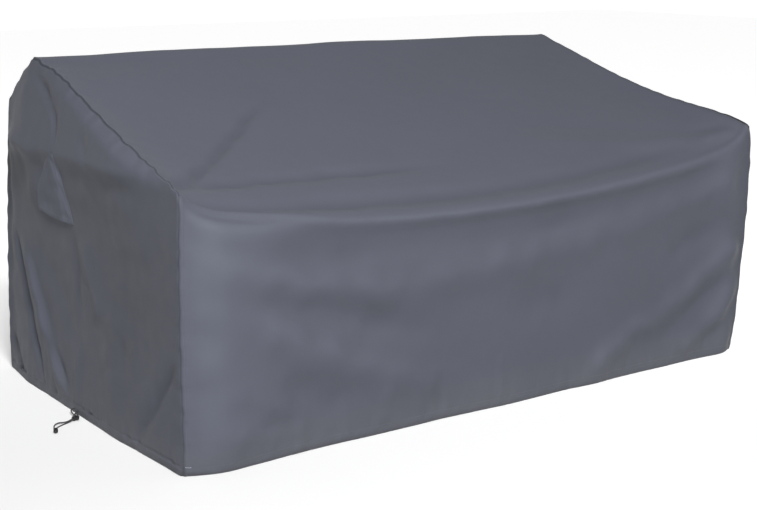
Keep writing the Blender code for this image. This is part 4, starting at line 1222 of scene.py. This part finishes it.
# The grid's rows from foot (0) to peak (1), and its columns from the front side (0) to the rear one (1)
step = np.concatenate([[0.0, 0.006, 0.014, 0.022, 0.032], np.linspace(0.05, 1.0, 46)])[:, None]
front_part, rear_part = [0.0, 0.008, 0.018, 0.03, 0.045], [0.955, 0.97, 0.982, 0.992, 1.0]
part = np.concatenate([front_part, np.linspace(0.065, 0.935, 60), rear_part])[None]
rise = 1 - (1 - step) ** 2
narrow = np.maximum(1 - step, HOOD_PEAK_WIDTH)
hood_rear = HOOD_PEAK_BACK + (HOOD_REAR_BACK - HOOD_PEAK_BACK) * narrow + HOOD_REAR_BOW * np.sin(np.pi * rise)
hood_front = HOOD_PEAK_BACK + (HOOD_FRONT_BACK - HOOD_PEAK_BACK) * np.maximum(1 - rise, HOOD_PEAK_WIDTH)
hood_back = hood_rear + (hood_front - hood_rear) * part
hood_foot = HOOD_FOOT_UP + HOOD_FOOT_RISE * (1 - part) - HOOD_FOOT_DIP * np.sin(np.pi * part)
hood_up = hood_foot + (HOOD_PEAK_UP - hood_foot) * rise
from_sides = np.minimum(hood_back - hood_front, hood_rear - hood_back)
panel = read_left(hood_back + FRONT_Y, hood_up)
stands_out = HOOD_STANDS_OUT * np.sin(np.pi * part) ** 0.6 * (1 - rise)
bridge = panel[:1] * (1 - rise) + panel[-1:] * rise - stands_out
lift = np.maximum(panel - bridge, 0.0) * smooth_step(from_sides, 0.0, 0.016)
from_crease = hood_back - hood_front - HOOD_CREASE_FROM_FRONT
crease = -HOOD_CREASE_DEPTH * bell(from_crease, 0.005) * smooth_step(rise, 0.3, 0.7) * (1 - rise) ** 0.3
stitched = -0.0008 * bell(from_sides - HOOD_STITCH_FROM_SIDE, 0.0016)
above_foot = hood_up - hood_foot
casing = HOOD_CASING_RISE * np.sin(np.pi * np.clip(above_foot / HOOD_CASING, 0, 1))
casing = casing - HOOD_GROOVE * bell(above_foot - HOOD_CASING, 0.0018)
wander = HOOD_UNEVEN * drift(hood_back, hood_up, 48, 61)
hood_out = lift + (wander + crease) * smooth_step(from_sides, 0.0, 0.012) + stitched + casing
sewn_down = np.maximum(1 - from_sides / 0.003, 0.0)
hood_x = panel - np.maximum(hood_out, 0.0) - HOOD_CLEARANCE * (1 - sewn_down)
hood = np.stack([hood_x, hood_back + FRONT_Y, hood_up], axis=-1)
fold_under = hood[:1] + [0.0015, 0.0, 0.0]
inner_edge = fold_under + [0.0, 0.0, HOOD_TURNED_UP]
hood_whole = np.concatenate([inner_edge, fold_under, hood])
hood_uv = np.stack([
    np.concatenate([hood_back[:1], hood_back[:1], hood_back]),
    np.concatenate([hood_up[:1] - 0.012, hood_up[:1] - 0.001, hood_up]),
], axis=-1)
# Painted light: the hood is coloured paler all over, with two paler streaks down it
hood_painted_light = 3.8 + 4.2 * bell(part - 0.80, 0.15) + 2.4 * bell(part - 0.22, 0.12) + 0 * rise
hood_marks = {"worn": np.concatenate([0 * part, 0 * part, hood_painted_light]), "pleats_v": 0.25}
hood_marks.update({mark: 0.0 for mark in ("low", "shaded", "stitched", "pleats_u")})
cloth_piece(
    "vent_hood", "vent_hood_left", hood_whole, hood_uv, hood_marks,
    flat=(0.20, 0.165), area=0.0215, rests_on=[left_cloth.name],
)

# ----------------------------------------------------------------------------------------------------------
# The stitching: rows of lockstitch in grey polyester thread, about 4 mm to the stitch. They hold the hem
# casing all round, hold the seam allowances down beside both end seams, and fasten the vent hood. A short
# pale tack closes the left front corner's foot.

STITCH_STEP = 0.0040
STITCH_LENGTH = 0.0031
THREAD_HALF_WIDTH = 0.00042
THREAD_HALF_HEIGHT = 0.00030
THREAD_SIDES = 5
TOPSTITCH_FROM_SEAM = 0.0080
TACK = ((0.0030, 0.0240), (0.0200, 0.0215))
TACK_STEP = 0.0011
TACK_SLANT = 0.0011
THREAD_TWIST = 0.0011
THREAD_PROFILE = ((0.0, 0.35), (0.16, 1.0), (0.84, 1.0), (1.0, 0.35))


def thread_finish(name, dark, light):
    """Sewing thread of two plies twisted together, a little shinier than the cloth, between two greys, with
    painted shade in the grooves between its plies.
    """
    material, shader = new_finish(name, 0.5, sheen=0.2)
    add, link = node_tools(material)
    maths = node_maths(add)
    split = add("SeparateXYZ", Vector=as_cut(add))
    along = maths("MULTIPLY", split.outputs["Y"], 2 * np.pi / THREAD_TWIST)
    ply = maths("SINE", maths("MULTIPLY_ADD", split.outputs["X"], 2.0, along))
    dusty = add("TexNoise", Vector=add("TexCoord").outputs["Object"], Scale=140.0, Detail=2.0)
    # Painted shade: the grooves between the plies, where the twist is low, are coloured darker
    share = maths("MULTIPLY_ADD", ply, 0.22, dusty.outputs["Fac"])
    greys = [(0.93 * grey, grey, 1.22 * grey, 1.0) for grey in (dark, light)]
    colour = add("MixRGB", Fac=share, Color1=greys[0], Color2=greys[1])
    link(colour.outputs["Color"], shader.inputs["Base Color"])
    bump = add("Bump", Height=ply, Strength=0.6, Distance=0.00006)
    link(bump.outputs["Normal"], shader.inputs["Normal"])
    return material


THREAD = thread_finish("slate_sewing_thread", 0.062, 0.114)
PALE_THREAD = thread_finish("pale_sewing_thread", 0.24, 0.40)


def read_grid(grid, rows, columns):
    """A grid's values at fractional row and column numbers, blended from the four points round each."""
    rows, columns = np.broadcast_arrays(np.asarray(rows, float), np.asarray(columns, float))
    r = np.clip(np.floor(rows).astype(int), 0, grid.shape[0] - 2)
    c = np.clip(np.floor(columns).astype(int), 0, grid.shape[1] - 2)
    s, t = (rows - r)[:, None], (columns - c)[:, None]
    near = grid[r, c] * (1 - t) + grid[r, c + 1] * t
    far = grid[r + 1, c] * (1 - t) + grid[r + 1, c + 1] * t
    return near * (1 - s) + far * s


def stitches_along(grid, rows, columns, sign=1.0, step=STITCH_STEP, slant=0.0):
    """The start, end and outward direction of each stitch on a line across a grid, a step apart.

    A slant turns each one that far to the side of the line, as in a tack."""
    line = read_grid(grid, rows, columns)
    out = read_grid(face_normals(grid) * sign, rows, columns)
    run = run_along(line)
    first = np.arange(step, run[-1] - STITCH_LENGTH - step, step)
    start, end = (read_line(line, run, first + shift) for shift in (0.0, step if slant else STITCH_LENGTH))
    up = unit(read_line(out, run, first))
    if slant:
        aside = unit(np.cross(up, end - start))
        start, end = start - aside * slant, end + aside * slant
    return start, end, up


def stitching(name, rows_of_stitches, thread=THREAD):
    """One mesh of many stitches: each a five-sided thread, thinner where it enters the cloth."""
    start, end, up = (np.concatenate(part) for part in zip(*rows_of_stitches))
    ahead = end - start
    length = np.linalg.norm(ahead, axis=1, keepdims=True)
    aside = np.cross(up, ahead / length)
    turn = turns(THREAD_SIDES)
    along, thick = np.array(THREAD_PROFILE).T
    around = THREAD_HALF_WIDTH * np.cos(turn)[:, None] * aside[:, None]
    around = around + THREAD_HALF_HEIGHT * np.sin(turn)[:, None] * up[:, None]
    middle = start[:, None] + along[:, None] * ahead[:, None]
    middle = middle + (thick[:, None] - 0.6) * THREAD_HALF_HEIGHT * up[:, None]
    points = middle[:, :, None] + thick[:, None, None] * around[:, None]
    number = np.arange(points[..., 0].size).reshape(points.shape[:3])
    beside_it = np.roll(number, -1, axis=2)
    sides = np.stack([number[:, :-1], beside_it[:, :-1], beside_it[:, 1:], number[:, 1:]], axis=-1)
    faces = sides.reshape(-1, 4).tolist() + number[:, 0, ::-1].tolist() + number[:, -1].tolist()
    uv = np.stack(np.broadcast_arrays(turn[None, None], along[None, :, None] * length[:, :, None]), axis=-1)
    mesh_piece(name, points, faces, uv, thread)


def numbers(values):
    """The whole numbers from 0 that count the given values."""
    return np.arange(len(values), dtype=float)


main_rows, main_columns = numbers(row_run), numbers(column_run)
hem_rows_at = np.interp([HEM_HEIGHT, row_run[-1] - HEM_HEIGHT], row_run, main_rows)
beside_seams = np.interp([TOPSTITCH_FROM_SEAM, 2 * END_X - TOPSTITCH_FROM_SEAM], column_run, main_columns)
stitching("main_stitching", [
    *(stitches_along(main, at, main_columns) for at in hem_rows_at),
    *(stitches_along(main, main_rows, at) for at in beside_seams),
])
end_rows = []
for face, sign in ((left_face, 1.0), (right_face, -1.0)):
    hem_column = np.interp(HEM_HEIGHT, face[len(face) // 2, :, 2], numbers(face[0]))
    end_rows.append(stitches_along(face, numbers(face), hem_column, sign))
stitching("end_stitching", end_rows)
tack_across, tack_up = np.array(TACK).T
tack_line = np.interp(tack_up, row_run, main_rows), np.interp(tack_across, column_run, main_columns)
tack_path = [np.linspace(*ends, 12) for ends in tack_line]
stitching("corner_tack", [stitches_along(main, *tack_path, step=TACK_STEP, slant=TACK_SLANT)], PALE_THREAD)
hood_width = (hood_rear - hood_front)[:, 0]
sewn_rows = numbers(hood_width)[(rise[:, 0] > 0.08) & (rise[:, 0] < 0.90)]
from_front = np.interp(HOOD_STITCH_FROM_SIDE / hood_width, part[0], numbers(part[0]))[sewn_rows.astype(int)]
foot_row = np.interp(HOOD_CASING / (HOOD_PEAK_UP - HOOD_FOOT_UP), rise[:, 0], numbers(rise))
stitching("hood_stitching", [
    stitches_along(hood, foot_row, np.linspace(4, len(part[0]) - 5, 60), -1.0),
    stitches_along(hood, sewn_rows, len(part[0]) - 1 - from_front, -1.0),
    stitches_along(hood, sewn_rows, from_front, -1.0),
])

# ----------------------------------------------------------------------------------------------------------
# The lock tab: a strip of the cloth folded to 6 mm, sewn into the hem at one end and to the cord lock at the
# other, so that the lock hangs from the cover when the cord is let go.

TAB_AT_HEM = (0.036, 0.0030)
TAB_BEND = (-0.8395, 0.0190, 0.0014)
TAB_DROP = -0.0028
TAB_WIDTH = 0.0060
TAB_THICKNESS = 0.0010
TAB_SINKS_IN = 0.0004
TAB_STEP = 0.0007
TAB_SQUARENESS = 0.55
TAB_TWIST = 0.5
TAB_ABOVE_GROUND = 0.0003


def tab_finish():
    """The cover's cloth folded to a narrow strip: the same weave and coating, darker at the folded edges."""
    material, shader = new_finish("slate_tab_cloth", 0.66, sheen=0.12)
    add, link = node_tools(material)
    cut = as_cut(add)
    weave = weave_pattern(add, cut)
    blotch = add("TexNoise", Vector=cut, Scale=320.0, Detail=3.0).outputs["Fac"]
    colour = add("MixRGB", Fac=blotch, Color1=(0.060, 0.064, 0.075, 1.0), Color2=(0.115, 0.122, 0.140, 1.0))
    shade = add("MixRGB", Fac=mark_reader(add)("edge"), Color1=colour.outputs["Color"])
    shade.inputs["Color2"].default_value = (0.045, 0.048, 0.056, 1.0)
    link(shade.outputs["Color"], shader.inputs["Base Color"])
    bump = add("Bump", Height=weave, Strength=1.0, Distance=0.00003)
    link(bump.outputs["Normal"], shader.inputs["Normal"])
    return material


tab_start = np.array([read_left(*TAB_AT_HEM) + TAB_SINKS_IN, *TAB_AT_HEM])
tab_end = into_lock + [0.0, 0.0, TAB_DROP] + LOCK_AHEAD * TAB_SINKS_IN
tab_line, tab_run = smooth_route(bend_through(tab_start, TAB_BEND, tab_end, 24), TAB_STEP)
tab_ahead = np.gradient(tab_line, axis=0)
tab_ahead[:, 2] = 0.0
tab_ahead = unit(tab_ahead)
tab_side = np.column_stack([-tab_ahead[:, 1], tab_ahead[:, 0], 0 * tab_run])
across, over = superellipse(turns(28), TAB_SQUARENESS)
across, over = across * TAB_WIDTH / 2, over * TAB_THICKNESS / 2
over = over * (0.78 + 0.22 * np.abs(across / (TAB_WIDTH / 2)) ** 2)
twist = TAB_TWIST * np.sin(np.pi * tab_run / tab_run[-1])[:, None]
tab = tab_line[:, None] + (across * np.cos(twist) - over * np.sin(twist))[..., None] * tab_side[:, None]
tab[..., 2] += across * np.sin(twist) + over * np.cos(twist)
tab[..., 2] = np.maximum(tab[..., 2], TAB_ABOVE_GROUND)
tab_uv = np.stack(np.broadcast_arrays(across[None] + 0 * tab_run[:, None], tab_run[:, None]), axis=-1)
tab_edge = np.broadcast_to(np.abs(across / (TAB_WIDTH / 2)) ** 6, tab.shape[:2])
lock_tab = grid_piece("lock_tab_strip", tab, tab_uv, True, True, tab_finish(), {"edge": tab_edge})
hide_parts("lock_tab")
